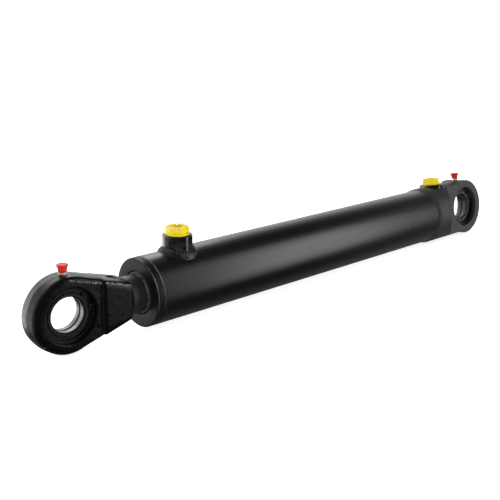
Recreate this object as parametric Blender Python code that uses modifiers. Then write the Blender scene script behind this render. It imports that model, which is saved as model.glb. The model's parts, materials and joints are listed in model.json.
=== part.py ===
"""Double-acting hydraulic cylinder: 63 mm bore, 40 mm rod, 350 mm stroke, shown retracted.

X runs along the cylinder from the rod end towards the base, Y along the base pin and Z up.
The origin is the centre of the base pin.  All values are in metres.
The front port and the rod end stand turned round the cylinder's axis by FRONT_TURN.
"""
import math

import bmesh
import bpy
from mathutils import Matrix

# Driving dimensions
CLEARANCE = 0.0003
TUBE_RADIUS = 0.0365
BORE_RADIUS = 0.0315
ROD_RADIUS = 0.0200
STROKE = 0.350
FRONT_TURN = math.radians(9.0)

# Stations along X, from the centre of the base pin
ROD_EYE_X = -0.6583
GLAND_FACE_X = -0.5733
FRONT_PORT_X = -0.5214
BASE_WELD_X = -0.0928
REAR_PORT_X = -0.0595

# Gland
COLLAR_LENGTH = 0.0080
GLAND_NOSE_START = 0.0405
GLAND_NOSE_RADIUS = 0.0260

# Rod end
ROD_EYE_RADIUS = 0.0395
ROD_EYE_HALF_WIDTH = 0.0145
ROD_EYE_ROUNDING = 0.0060
SHANK_START = 0.0330
SHANK_END = 0.0670
SHANK_HALF_WIDTH = 0.0185
SHANK_SETBACK = 0.0013
SHANK_ROUNDING = 0.0045
SHANK_TAPER = math.radians(17.4)
THREAD_RADIUS = 0.0140
THREAD_DEPTH = 0.0270
ROD_NIPPLE_X = ROD_EYE_X + 0.0010
SET_SCREW_X = 0.0570
SET_SCREW_RADIUS = 0.0050

# Base end
BASE_RADIUS = 0.0382
BASE_EYE_RADIUS = 0.0385
BASE_EYE_HALF_WIDTH = 0.0160
BASE_SHOULDER_X = -0.0658
SPIGOT_LENGTH = 0.0100
BASE_NIPPLE_LIFT = 0.0013

# Spherical plain bearing, 35 mm bore
PIN_RADIUS = 0.0175
HOUSING_RADIUS = 0.0275
SPHERE_RADIUS = 0.0235
INNER_RING_HALF_WIDTH = 0.0085
INNER_RING_LEAD_IN = 0.0017
BALL_CLEARANCE = 0.0004
OUTER_RING_HALF_WIDTH = 0.0075
CIRCLIP_THICKNESS = 0.0020
CIRCLIP_GROOVE_RADIUS = 0.0290

# Ports, G1/2
BOSS_RADIUS = 0.0160
PORT_THREAD_RADIUS = 0.01045
PORT_THREAD_DEPTH = 0.0140
PORT_PASSAGE_RADIUS = 0.0055
PORT_RECESS = 0.0005
FRONT_RIM_HEIGHT = 0.0530
REAR_RIM_HEIGHT = 0.0402
FRONT_BEAD_RADIUS = 0.0048
REAR_BEAD_RADIUS = 0.0026

# Port plugs
PLUG_FLANGE_RADIUS = 0.0133
PLUG_FLANGE_THICKNESS = 0.0020
PLUG_HEX_CORNER_RADIUS = 0.0127
PLUG_HEIGHT = 0.0082
PLUG_STEM_LENGTH = 0.0100
PLUG_WALL = 0.0020

# Piston and its nut
PISTON_LENGTH = 0.0400
PISTON_SEAT_RADIUS = 0.0150
NUT_LENGTH = 0.0180
NUT_CORNER_RADIUS = 0.0208
NUT_THREAD_RADIUS = 0.0120
END_GAP = 0.0010

SEGMENTS = 32
BEARING_SEGMENTS = 28
RING_SEGMENTS = 24
SMALL_SEGMENTS = 16
ALONG_X = (0.0, math.pi / 2, 0.0)
ALONG_Y = (-math.pi / 2, 0.0, 0.0)
ALONG_Z = (0.0, 0.0, 0.0)

# Stations that follow from the driving dimensions
SPIGOT_FACE_X = BASE_WELD_X - SPIGOT_LENGTH
ROD_TAIL_X = SPIGOT_FACE_X - END_GAP
PISTON_BACK_X = ROD_TAIL_X - NUT_LENGTH - 2 * CLEARANCE
PISTON_FRONT_X = PISTON_BACK_X - PISTON_LENGTH
GLAND_INNER_X = PISTON_FRONT_X - STROKE - CLEARANCE

# Paint, roughness and metallic value of each finish
FINISHES = {
    "black_paint": ((0.012, 0.013, 0.013), 0.38, 0.0),
    "gland_black": ((0.030, 0.031, 0.032), 0.55, 0.0),
    "chrome": ((0.62, 0.63, 0.65), 0.12, 1.0),
    "bearing_steel": ((0.38, 0.38, 0.37), 0.28, 1.0),
    "phosphated_steel": ((0.035, 0.035, 0.036), 0.50, 0.6),
    "zinc": ((0.60, 0.61, 0.60), 0.30, 1.0),
    "machined_steel": ((0.42, 0.42, 0.43), 0.35, 1.0),
    "yellow_plastic": ((0.84, 0.62, 0.03), 0.42, 0.0),
    "red_plastic": ((0.68, 0.03, 0.02), 0.40, 0.0),
    "seal_rubber": ((0.020, 0.020, 0.022), 0.70, 0.0),
    "seal_polyurethane": ((0.10, 0.22, 0.33), 0.55, 0.0),
    "guide_resin": ((0.20, 0.13, 0.07), 0.60, 0.0),
}


def clear_scene():
    """Remove every object that the file opened with."""
    for old in list(bpy.data.objects):
        bpy.data.objects.remove(old, do_unlink=True)


def new_collection(name):
    group = bpy.data.collections.new(name)
    bpy.context.scene.collection.children.link(group)
    return group


def material_for(name, finish):
    """A Principled material of the part's own, in one of the finishes above."""
    colour, roughness, metallic = FINISHES[finish]
    mat = bpy.data.materials.new(name + "_" + finish)
    mat.use_nodes = True
    shader = mat.node_tree.nodes["Principled BSDF"]
    shader.inputs["Base Color"].default_value = (*colour, 1.0)
    shader.inputs["Roughness"].default_value = roughness
    shader.inputs["Metallic"].default_value = metallic
    mat.diffuse_color = (*colour, 1.0)
    return mat


def place(name, data, finish, parent, location, rotation):
    """Put a mesh or curve in the scene as a part, or as a cutter when it has no finish."""
    obj = bpy.data.objects.new(name, data)
    obj.parent = parent
    obj.location = location
    obj.rotation_euler = rotation
    if finish:
        data.materials.append(material_for(name, finish))
        parts.objects.link(obj)
    else:
        obj.hide_render = True
        obj.display_type = "WIRE"
        cutters.objects.link(obj)
    return obj


def axis_frame(name, location=(0, 0, 0), turn=0.0):
    """An empty turned round X that carries whatever stands at the same angle."""
    frame = bpy.data.objects.new(name, None)
    frame.location = location
    frame.rotation_euler = (turn, 0.0, 0.0)
    frame.empty_display_size = 0.02
    parts.objects.link(frame)
    return frame


def turned(name, outline, finish=None, parent=None, location=(0, 0, 0), rotation=ALONG_X,
           segments=SEGMENTS):
    """Solid of revolution from (radius, height) points that run down its outer side."""
    count = len(outline)
    edges = [(i, i + 1) for i in range(count - 1)]
    if outline[0][0] > 0.0:
        edges.append((count - 1, 0))
    mesh = bpy.data.meshes.new(name)
    mesh.from_pydata([(radius, 0.0, height) for radius, height in outline], edges, [])
    obj = place(name, mesh, finish, parent, location, rotation)
    screw = obj.modifiers.new("turn", "SCREW")
    screw.axis = "Z"
    screw.angle = 2 * math.pi
    screw.steps = segments
    screw.render_steps = segments
    screw.use_merge_vertices = True
    screw.merge_threshold = 0.00001
    return obj


def extruded(name, outlines, half_depth, finish=None, parent=None, location=(0, 0, 0),
             rotation=ALONG_Z):
    """Flat outlines, the first outside and the rest holes, extruded both ways along local Z."""
    curve = bpy.data.curves.new(name, "CURVE")
    curve.dimensions = "2D"
    curve.fill_mode = "BOTH"
    curve.extrude = half_depth
    for outline in outlines:
        spline = curve.splines.new("POLY")
        spline.points.add(len(outline) - 1)
        for point, (x, y) in zip(spline.points, outline):
            point.co = (x, y, 0.0, 1.0)
        spline.use_cyclic_u = True
    flat = bpy.data.objects.new(name + "_outline", curve)
    return made_mesh(name, flat, finish, parent, location, rotation)


def swept(name, points, radius, finish, parent):
    """A closed round bar along a ring of points."""
    curve = bpy.data.curves.new(name, "CURVE")
    curve.dimensions = "3D"
    curve.bevel_depth = radius
    curve.bevel_resolution = 1
    spline = curve.splines.new("POLY")
    spline.points.add(len(points) - 1)
    for point, place_on_ring in zip(spline.points, points):
        point.co = (*place_on_ring, 1.0)
    spline.use_cyclic_u = True
    bar = bpy.data.objects.new(name + "_path", curve)
    return made_mesh(name, bar, finish, parent, (0, 0, 0), ALONG_Z)


def made_mesh(name, source, finish, parent, location, rotation):
    """Turn a curve object into a welded mesh object and remove the curve."""
    cutters.objects.link(source)
    bpy.context.view_layer.update()
    graph = bpy.context.evaluated_depsgraph_get()
    mesh = bpy.data.meshes.new_from_object(source.evaluated_get(graph))
    bpy.data.objects.remove(source, do_unlink=True)
    mesh.name = name
    mesh.materials.clear()
    shape = bmesh.new()
    shape.from_mesh(mesh)
    bmesh.ops.remove_doubles(shape, verts=shape.verts, dist=0.00001)
    bmesh.ops.dissolve_limit(shape, angle_limit=math.radians(0.5), verts=shape.verts, edges=shape.edges)
    bmesh.ops.recalc_face_normals(shape, faces=shape.faces)
    shape.to_mesh(mesh)
    shape.free()
    return place(name, mesh, finish, parent, location, rotation)


def box(name, size, parent, location):
    """A plain block, used as a cutter."""
    mesh = bpy.data.meshes.new(name)
    shape = bmesh.new()
    bmesh.ops.create_cube(shape, size=1.0, matrix=Matrix.Diagonal((*size, 1.0)))
    shape.to_mesh(mesh)
    shape.free()
    return place(name, mesh, None, parent, location, ALONG_Z)


def prism(name, sides, radius, bottom, top, parent, location, turn=0.0, finish=None):
    """A regular prism along Z, with its corners on the given radius."""
    mesh = bpy.data.meshes.new(name)
    shape = bmesh.new()
    bmesh.ops.create_cone(shape, cap_ends=True, segments=sides, radius1=radius, radius2=radius,
                          depth=top - bottom, matrix=Matrix.Translation((0, 0, (top + bottom) / 2)))
    shape.to_mesh(mesh)
    shape.free()
    return place(name, mesh, finish, parent, location, (0.0, 0.0, turn))


def combine(obj, other, operation):
    """Union, difference or intersection with another object."""
    step = obj.modifiers.new(other.name, "BOOLEAN")
    step.object = other
    step.operation = operation
    step.solver = "EXACT"


def bevel(obj, width, segments=1, angle=30.0):
    """Round or chamfer the edges that turn by more than the given angle."""
    step = obj.modifiers.new("edges", "BEVEL")
    step.width = width
    step.segments = segments
    step.limit_method = "ANGLE"
    step.angle_limit = math.radians(angle)


def arc(radius, start, end, steps, centre=(0.0, 0.0)):
    """Points on an arc, from the start angle to the end angle in degrees."""
    points = []
    for i in range(steps + 1):
        angle = math.radians(start + (end - start) * i / steps)
        points.append((centre[0] + radius * math.cos(angle), centre[1] + radius * math.sin(angle)))
    return points


def ring_on_axis(name, inner, outer, low, high, finish):
    """A plain ring round the cylinder's axis between two X stations."""
    middle = (low + high) / 2
    top = high - middle
    bottom = low - middle
    outline = [(outer, top), (outer, bottom), (inner, bottom), (inner, top)]
    return turned(name, outline, finish, location=(middle, 0, 0), segments=RING_SEGMENTS)


def o_ring(name, groove_radius, wall_radius, station, finish="seal_rubber"):
    """A round-section ring that fills the space between a groove and a wall."""
    section = (wall_radius - groove_radius) / 2 - CLEARANCE
    middle = (wall_radius + groove_radius) / 2
    outline = arc(section, 90, -270, 6, (middle, 0.0))[:-1]
    return turned(name, outline, finish, location=(station, 0, 0), segments=RING_SEGMENTS)


def make_tube():
    """The cylinder tube, prepared with a weld bevel at the base and a hole for the front port."""
    front = GLAND_FACE_X + COLLAR_LENGTH + CLEARANCE
    back = BASE_WELD_X - CLEARANCE
    outline = [
        (BORE_RADIUS + 0.0010, back),
        (TUBE_RADIUS, back - 0.0030),
        (TUBE_RADIUS, front + 0.0005),
        (TUBE_RADIUS - 0.0005, front),
        (BORE_RADIUS, front),
        (BORE_RADIUS, back),
    ]
    tube = turned("cylinder_tube", outline, "black_paint")
    hole = turned("front_port_hole", [(0, 0.06), (PORT_PASSAGE_RADIUS, 0.06), (PORT_PASSAGE_RADIUS, 0.02),
                                      (0, 0.02)],
                  parent=front_frame, location=(FRONT_PORT_X, 0, 0), rotation=ALONG_Z,
                  segments=SMALL_SEGMENTS)
    combine(tube, hole, "DIFFERENCE")


def make_base_weld():
    """The weld bead that fills the groove between the tube and the base end."""
    outline = [
        (BASE_RADIUS - 0.0003, BASE_WELD_X + 0.0028),
        (BASE_RADIUS + 0.0001, BASE_WELD_X + 0.0014),
        (TUBE_RADIUS + 0.0009, BASE_WELD_X - 0.0010),
        (TUBE_RADIUS - 0.0003, BASE_WELD_X - 0.0027),
        (BORE_RADIUS + 0.0020, BASE_WELD_X - 0.0003),
        (BORE_RADIUS + 0.0020, BASE_WELD_X + 0.0003),
    ]
    turned("base_weld", outline, "black_paint")


def housing_cutter(name, half_width, parent, location):
    """The bearing's bore through an eye, with its two circlip grooves and wide mouth chamfers."""
    groove_in = OUTER_RING_HALF_WIDTH
    groove_out = groove_in + CIRCLIP_THICKNESS + 2 * CLEARANCE
    beyond = half_width + 0.005
    mouth = 0.0020
    upper = [
        (0.0, beyond),
        (HOUSING_RADIUS + mouth + beyond - half_width, beyond),
        (HOUSING_RADIUS + mouth, half_width),
        (HOUSING_RADIUS, half_width - mouth),
        (HOUSING_RADIUS, groove_out),
        (CIRCLIP_GROOVE_RADIUS, groove_out),
        (CIRCLIP_GROOVE_RADIUS, groove_in),
        (HOUSING_RADIUS, groove_in),
    ]
    lower = [(radius, -height) for radius, height in reversed(upper)]
    return turned(name, upper + lower, parent=parent, location=location, rotation=ALONG_Y)


def nipple_hole(name, eye_radius, parent, location):
    """The nipple's drilling down to the bearing and the flat spotface round its mouth."""
    outline = [(0, eye_radius + 0.010), (0.0054, eye_radius + 0.010), (0.0054, eye_radius - 0.0006),
               (0.0033, eye_radius - 0.0006), (0.0033, HOUSING_RADIUS - 0.002), (0, HOUSING_RADIUS - 0.002)]
    return turned(name, outline, parent=parent, location=location, rotation=ALONG_Z,
                  segments=SMALL_SEGMENTS)


def make_base_end():
    """The base end in one piece: spigot, round body, sloping shoulders and flat-sided eye."""
    back_of_body = -0.0045
    outline = [
        (0.0, back_of_body),
        (BASE_RADIUS, back_of_body),
        (BASE_RADIUS, BASE_WELD_X + CLEARANCE + 0.0032),
        (BORE_RADIUS + 0.0010, BASE_WELD_X + CLEARANCE),
        (BORE_RADIUS - CLEARANCE, BASE_WELD_X + CLEARANCE),
        (BORE_RADIUS - CLEARANCE, SPIGOT_FACE_X + 0.0015),
        (BORE_RADIUS - CLEARANCE - 0.0015, SPIGOT_FACE_X),
        (0.0, SPIGOT_FACE_X),
    ]
    body = turned("base_end", outline, "black_paint")
    slope = TUBE_RADIUS - BASE_EYE_HALF_WIDTH
    for side, word in ((-1, "near"), (1, "far")):
        flank = [
            (BASE_SHOULDER_X - 0.010, side * (TUBE_RADIUS + 0.010)),
            (BASE_SHOULDER_X + slope, side * BASE_EYE_HALF_WIDTH),
            (0.050, side * BASE_EYE_HALF_WIDTH),
            (0.050, side * (TUBE_RADIUS + 0.010)),
        ]
        flank_cutter = extruded("base_flank_" + word, [flank], 0.060)
        combine(body, flank_cutter, "DIFFERENCE")
    chamfer = 0.0012
    eye = turned("base_eye_disc", [
        (0.0, BASE_EYE_HALF_WIDTH),
        (BASE_EYE_RADIUS - chamfer, BASE_EYE_HALF_WIDTH),
        (BASE_EYE_RADIUS, BASE_EYE_HALF_WIDTH - chamfer),
        (BASE_EYE_RADIUS, -BASE_EYE_HALF_WIDTH + chamfer),
        (BASE_EYE_RADIUS - chamfer, -BASE_EYE_HALF_WIDTH),
        (0.0, -BASE_EYE_HALF_WIDTH)], rotation=ALONG_Y)
    combine(body, eye, "UNION")
    combine(body, housing_cutter("base_housing", BASE_EYE_HALF_WIDTH, None, (0, 0, 0)), "DIFFERENCE")
    combine(body, nipple_hole("base_nipple_hole", BASE_EYE_RADIUS, None, (0, 0, 0)), "DIFFERENCE")
    pocket_floor = REAR_RIM_HEIGHT - PORT_THREAD_DEPTH - 2 * CLEARANCE
    port = turned("rear_port_pocket", [
        (0.0, 0.050),
        (BOSS_RADIUS + CLEARANCE, 0.050),
        (BOSS_RADIUS + CLEARANCE, pocket_floor),
        (PORT_PASSAGE_RADIUS, pocket_floor),
        (PORT_PASSAGE_RADIUS, -0.004),
        (0.0, -0.004)], location=(REAR_PORT_X, 0, 0), rotation=ALONG_Z)
    combine(body, port, "DIFFERENCE")
    passage = turned("rear_passage", [
        (0.0, REAR_PORT_X),
        (PORT_PASSAGE_RADIUS - 0.0005, REAR_PORT_X),
        (PORT_PASSAGE_RADIUS - 0.0005, SPIGOT_FACE_X - 0.010),
        (0.0, SPIGOT_FACE_X - 0.010)], segments=SMALL_SEGMENTS)
    combine(body, passage, "DIFFERENCE")


def boss_outline(rim, foot):
    """Port boss outline: flat rim, shallow recess inside it, thread and plain passage below."""
    chamfer = 0.0008
    shelf = rim - PORT_THREAD_DEPTH
    mouth = rim - PORT_RECESS
    return [
        (PLUG_FLANGE_RADIUS + 0.0004, mouth),
        (PLUG_FLANGE_RADIUS + 0.0004, rim),
        (BOSS_RADIUS - chamfer, rim),
        (BOSS_RADIUS, rim - chamfer),
        (BOSS_RADIUS, foot),
        (PORT_PASSAGE_RADIUS, foot),
        (PORT_PASSAGE_RADIUS, shelf),
        (PORT_THREAD_RADIUS, shelf),
        (PORT_THREAD_RADIUS, mouth - chamfer),
        (PORT_THREAD_RADIUS + chamfer, mouth),
    ]


def weld_ring(radius, station, skin_radius):
    """Points round a boss, all on the round skin that it stands on."""
    count = 24
    points = []
    for i in range(count):
        angle = 2 * math.pi * i / count
        across = radius * math.sin(angle)
        height = math.sqrt(skin_radius ** 2 - across ** 2)
        points.append((station + radius * math.cos(angle), across, height))
    return points


def make_port(word, station, rim, foot, bead, skin_radius, frame, plug_turn):
    """A port's boss, the weld round its foot and the plastic plug screwed into it."""
    boss = turned(word + "_port_boss", boss_outline(rim, foot), "black_paint", frame, (station, 0, 0),
                  ALONG_Z, RING_SEGMENTS)
    path = weld_ring(BOSS_RADIUS + 0.0012, station, skin_radius)
    weld = swept(word + "_port_weld", path, bead, "black_paint", frame)
    reach = 0.030
    skin = turned(word + "_weld_floor", [
        (0, reach), (skin_radius + CLEARANCE, reach), (skin_radius + CLEARANCE, -reach), (0, -reach)],
        location=(station, 0, 0))
    around = turned(word + "_weld_wall", [(0, 0.070), (BOSS_RADIUS + CLEARANCE, 0.070),
                                          (BOSS_RADIUS + CLEARANCE, 0.0), (0, 0.0)],
                    parent=frame, location=(station, 0, 0), rotation=ALONG_Z, segments=RING_SEGMENTS)
    combine(weld, skin, "DIFFERENCE")
    combine(weld, around, "DIFFERENCE")
    if word == "front":
        combine(boss, skin, "DIFFERENCE")
    make_plug(word, station, rim, frame, plug_turn)


def make_plug(word, station, rim, frame, plug_turn):
    """A hollow plastic plug: stem in the port, round flange on the rim, slotted hexagon head."""
    name = word + "_port_plug"
    seat = rim + CLEARANCE
    stem = PORT_THREAD_RADIUS - CLEARANCE
    plug = turned(name, [
        (0.0, PLUG_FLANGE_THICKNESS),
        (PLUG_FLANGE_RADIUS - 0.0004, PLUG_FLANGE_THICKNESS),
        (PLUG_FLANGE_RADIUS, PLUG_FLANGE_THICKNESS - 0.0004),
        (PLUG_FLANGE_RADIUS, 0.0),
        (stem, 0.0),
        (stem, -PLUG_STEM_LENGTH + 0.001),
        (stem - 0.001, -PLUG_STEM_LENGTH),
        (0.0, -PLUG_STEM_LENGTH)], "yellow_plastic", frame, (station, 0, seat), ALONG_Z, RING_SEGMENTS)
    head = prism(word + "_plug_head", 6, PLUG_HEX_CORNER_RADIUS, PLUG_FLANGE_THICKNESS / 2, PLUG_HEIGHT,
                 frame, (station, 0, seat), plug_turn)
    bevel(head, 0.0006)
    combine(plug, head, "UNION")
    hollow_radius = stem - PLUG_WALL
    hollow = turned(word + "_plug_hollow", [
        (0.0, PLUG_HEIGHT + 0.002),
        (hollow_radius, PLUG_HEIGHT + 0.002),
        (hollow_radius, -PLUG_STEM_LENGTH + PLUG_WALL),
        (0.0, -PLUG_STEM_LENGTH + PLUG_WALL)],
        parent=frame, location=(station, 0, seat), rotation=ALONG_Z, segments=SMALL_SEGMENTS)
    combine(plug, hollow, "DIFFERENCE")
    for i in range(2):
        slot = box(word + "_plug_slot_" + str(i), (0.030, 0.0030, 0.0050), frame,
                   (station, 0, seat + PLUG_HEIGHT))
        slot.rotation_euler = (0.0, 0.0, plug_turn + i * math.pi / 2)
        combine(plug, slot, "DIFFERENCE")


def make_gland():
    """The gland that closes the tube and guides the rod, with grooves for all its rings."""
    face = GLAND_FACE_X
    length = GLAND_INNER_X - face
    bore = ROD_RADIUS + CLEARANCE
    sleeve = BORE_RADIUS - CLEARANCE
    outline = [
        (GLAND_NOSE_RADIUS, length),
        (GLAND_NOSE_RADIUS, GLAND_NOSE_START),
        (sleeve - 0.001, GLAND_NOSE_START),
        (sleeve, GLAND_NOSE_START - 0.001),
        (sleeve, 0.0345),
        (0.0280, 0.0345),
        (0.0280, 0.0285),
        (sleeve, 0.0285),
        (sleeve, COLLAR_LENGTH + CLEARANCE),
        (sleeve - 0.0015, COLLAR_LENGTH),
        (TUBE_RADIUS - 0.0005, COLLAR_LENGTH),
        (TUBE_RADIUS, COLLAR_LENGTH - 0.0005),
        (TUBE_RADIUS, 0.0010),
        (TUBE_RADIUS - 0.0010, 0.0),
        (0.0222, 0.0),
        (0.0216, 0.0012),
        (0.0253, 0.0012),
        (0.0253, 0.0080),
        (bore, 0.0080),
        (bore, 0.0145),
        (0.0253, 0.0145),
        (0.0253, 0.0225),
        (bore, 0.0225),
        (bore, 0.0265),
        (0.0228, 0.0265),
        (0.0228, 0.0365),
        (bore, 0.0365),
        (bore, length),
    ]
    turned("gland", outline, "gland_black", location=(face, 0, 0))
    gap = CLEARANCE
    o_ring("gland_o_ring", 0.0280, BORE_RADIUS, face + 0.0303)
    ring_on_axis("gland_backup_ring", 0.0280 + gap, BORE_RADIUS - gap, face + 0.0327, face + 0.0342,
                 "guide_resin")
    wiper = [(0.0250, 0.0077), (0.0250, 0.0015), (0.0213, 0.0015), (bore + 0.0005, -0.0004),
             (bore, -0.0004), (bore, 0.0077)]
    turned("rod_wiper", wiper, "seal_polyurethane", location=(face, 0, 0), segments=RING_SEGMENTS)
    seal = [(0.0232, 0.0222), (0.0250, 0.0222), (0.0250, 0.0148), (bore, 0.0148), (bore, 0.0222),
            (0.0221, 0.0222), (0.0226, 0.0185)]
    turned("rod_seal", seal, "seal_polyurethane", location=(face, 0, 0), segments=RING_SEGMENTS)
    ring_on_axis("rod_guide_ring", bore, 0.0225, face + 0.0268, face + 0.0362, "guide_resin")


def make_piston():
    """The piston with its seal, the ring that energises it, two guide rings and its nut."""
    front = PISTON_FRONT_X
    skin = BORE_RADIUS - CLEARANCE - 0.0002
    seal_floor = 0.0257
    guide_floor = 0.0285
    outline = [
        (skin - 0.001, PISTON_LENGTH),
        (skin, PISTON_LENGTH - 0.001),
        (skin, 0.0370),
        (guide_floor, 0.0370),
        (guide_floor, 0.0280),
        (skin, 0.0280),
        (skin, 0.0240),
        (seal_floor, 0.0240),
        (seal_floor, 0.0160),
        (skin, 0.0160),
        (skin, 0.0120),
        (guide_floor, 0.0120),
        (guide_floor, 0.0030),
        (skin, 0.0030),
        (skin, 0.0010),
        (skin - 0.001, 0.0),
        (PISTON_SEAT_RADIUS + CLEARANCE, 0.0),
        (PISTON_SEAT_RADIUS + CLEARANCE, PISTON_LENGTH),
    ]
    turned("piston", outline, "machined_steel", location=(front, 0, 0), segments=RING_SEGMENTS)
    gap = CLEARANCE
    wall = BORE_RADIUS - gap
    ring_on_axis("piston_seal", 0.0292, wall, front + 0.0163, front + 0.0237, "seal_polyurethane")
    o_ring("piston_seal_energiser", seal_floor, 0.0292, front + 0.0200)
    for word, start in (("front", 0.0033), ("rear", 0.0283)):
        ring_on_axis("piston_guide_ring_" + word, guide_floor + gap, wall, front + start,
                     front + start + 0.0084, "guide_resin")
    o_ring("piston_bore_o_ring", 0.0132, PISTON_SEAT_RADIUS + gap, front + 0.0200)
    nut = prism("piston_nut", 6, NUT_CORNER_RADIUS, 0.0, NUT_LENGTH, None,
                (PISTON_BACK_X + gap, 0, 0), finish="zinc")
    nut.rotation_euler = ALONG_X
    bore = turned("piston_nut_bore", [
        (0.0, NUT_LENGTH + 0.002),
        (NUT_THREAD_RADIUS + CLEARANCE, NUT_LENGTH + 0.002),
        (NUT_THREAD_RADIUS + CLEARANCE, -0.002),
        (0.0, -0.002)], location=(PISTON_BACK_X + gap, 0, 0), segments=SMALL_SEGMENTS)
    combine(nut, bore, "DIFFERENCE")


def make_rod():
    """The chromed rod: thread for the rod end, guided length, piston seat and nut thread."""
    shoulder = ROD_EYE_X + SHANK_END + CLEARANCE
    thread_tip = shoulder - THREAD_DEPTH + 2 * CLEARANCE
    seat_start = PISTON_FRONT_X - CLEARANCE
    seat_end = PISTON_BACK_X - 2 * CLEARANCE
    thread = THREAD_RADIUS - CLEARANCE
    groove = PISTON_FRONT_X + 0.0200
    outline = [
        (0.0, ROD_TAIL_X),
        (NUT_THREAD_RADIUS - 0.001, ROD_TAIL_X),
        (NUT_THREAD_RADIUS, ROD_TAIL_X - 0.001),
        (NUT_THREAD_RADIUS, seat_end),
        (PISTON_SEAT_RADIUS, seat_end),
        (PISTON_SEAT_RADIUS, groove + 0.0014),
        (0.0132, groove + 0.0014),
        (0.0132, groove - 0.0014),
        (PISTON_SEAT_RADIUS, groove - 0.0014),
        (PISTON_SEAT_RADIUS, seat_start),
        (ROD_RADIUS, seat_start),
        (ROD_RADIUS, shoulder + 0.001),
        (ROD_RADIUS - 0.001, shoulder),
        (thread, shoulder),
        (thread, thread_tip + 0.001),
        (thread - 0.001, thread_tip),
        (0.0, thread_tip),
    ]
    turned("piston_rod", outline, "chrome")


def shank_height(x):
    """Half height of the rod end at a distance x from its pin, along the sloping flank."""
    return ROD_EYE_RADIUS / math.cos(SHANK_TAPER) - x * math.tan(SHANK_TAPER)


def round_shank(shank):
    """Round the shank's long edges and the two upright edges where it rises from the eye."""
    mesh = shank.data
    weights = mesh.attributes.new("bevel_weight_edge", "FLOAT", "EDGE")
    for edge in mesh.edges:
        start, end = (mesh.vertices[i].co for i in edge.vertices)
        along = abs(start.x - end.x) > (SHANK_END - SHANK_START) / 2
        upright = abs(start.y - end.y) > SHANK_START / 2 and start.x < SHANK_END - 0.001
        weights.data[edge.index].value = 1.0 if along or upright else 0.0
    step = shank.modifiers.new("edges", "BEVEL")
    step.width = SHANK_ROUNDING
    step.segments = 2
    step.limit_method = "WEIGHT"


def make_rod_end():
    """The forged rod end: round-edged eye, thicker tapered shank, thread and set screw."""
    centre = (ROD_EYE_X, 0, 0)
    upright = (math.pi / 2, 0.0, 0.0)
    touch = 90.0 - math.degrees(SHANK_TAPER)
    root = SHANK_START + 0.006
    plate = [(root, -shank_height(root))] + arc(ROD_EYE_RADIUS, -touch, -360.0 + touch, 28)
    plate.append((root, shank_height(root)))
    eye = extruded("rod_end", [plate], ROD_EYE_HALF_WIDTH, "black_paint", rod_frame, centre, upright)
    bevel(eye, ROD_EYE_ROUNDING, 3, 50.0)
    start_height = shank_height(SHANK_START) - SHANK_SETBACK
    end_height = shank_height(SHANK_END)
    block = [(SHANK_START, -start_height), (SHANK_END, -end_height), (SHANK_END, end_height),
             (SHANK_START, start_height)]
    shank = extruded("rod_end_shank", [block], SHANK_HALF_WIDTH, None, rod_frame, centre, upright)
    round_shank(shank)
    combine(eye, shank, "UNION")
    combine(eye, housing_cutter("rod_end_housing", ROD_EYE_HALF_WIDTH, rod_frame, centre), "DIFFERENCE")
    nipple = nipple_hole("rod_end_nipple_hole", ROD_EYE_RADIUS, rod_frame, (ROD_NIPPLE_X, 0, 0))
    combine(eye, nipple, "DIFFERENCE")
    thread = turned("rod_end_thread", [
        (0.0, SHANK_END + 0.004),
        (THREAD_RADIUS, SHANK_END + 0.004),
        (THREAD_RADIUS, SHANK_END - THREAD_DEPTH),
        (0.0, SHANK_END - THREAD_DEPTH)], parent=rod_frame, location=centre, segments=RING_SEGMENTS)
    combine(eye, thread, "DIFFERENCE")
    screw_place = (ROD_EYE_X + SET_SCREW_X, 0, 0)
    screw_hole = turned("set_screw_hole", [
        (0.0, 0.040), (SET_SCREW_RADIUS + CLEARANCE, 0.040), (SET_SCREW_RADIUS + CLEARANCE, 0.010),
        (0.0, 0.010)], parent=rod_frame, location=screw_place, rotation=ALONG_Z, segments=SMALL_SEGMENTS)
    combine(eye, screw_hole, "DIFFERENCE")
    screw = turned("rod_end_set_screw", [
        (0.0, 0.0215), (SET_SCREW_RADIUS - 0.0006, 0.0215), (SET_SCREW_RADIUS, 0.0209),
        (SET_SCREW_RADIUS, 0.0150), (SET_SCREW_RADIUS - 0.0010, 0.0141), (0.0, 0.0141)],
        "phosphated_steel", rod_frame, screw_place, ALONG_Z, SMALL_SEGMENTS)
    socket = prism("set_screw_socket", 6, 0.0029, 0.0175, 0.0240, rod_frame, screw_place)
    combine(screw, socket, "DIFFERENCE")


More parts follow.
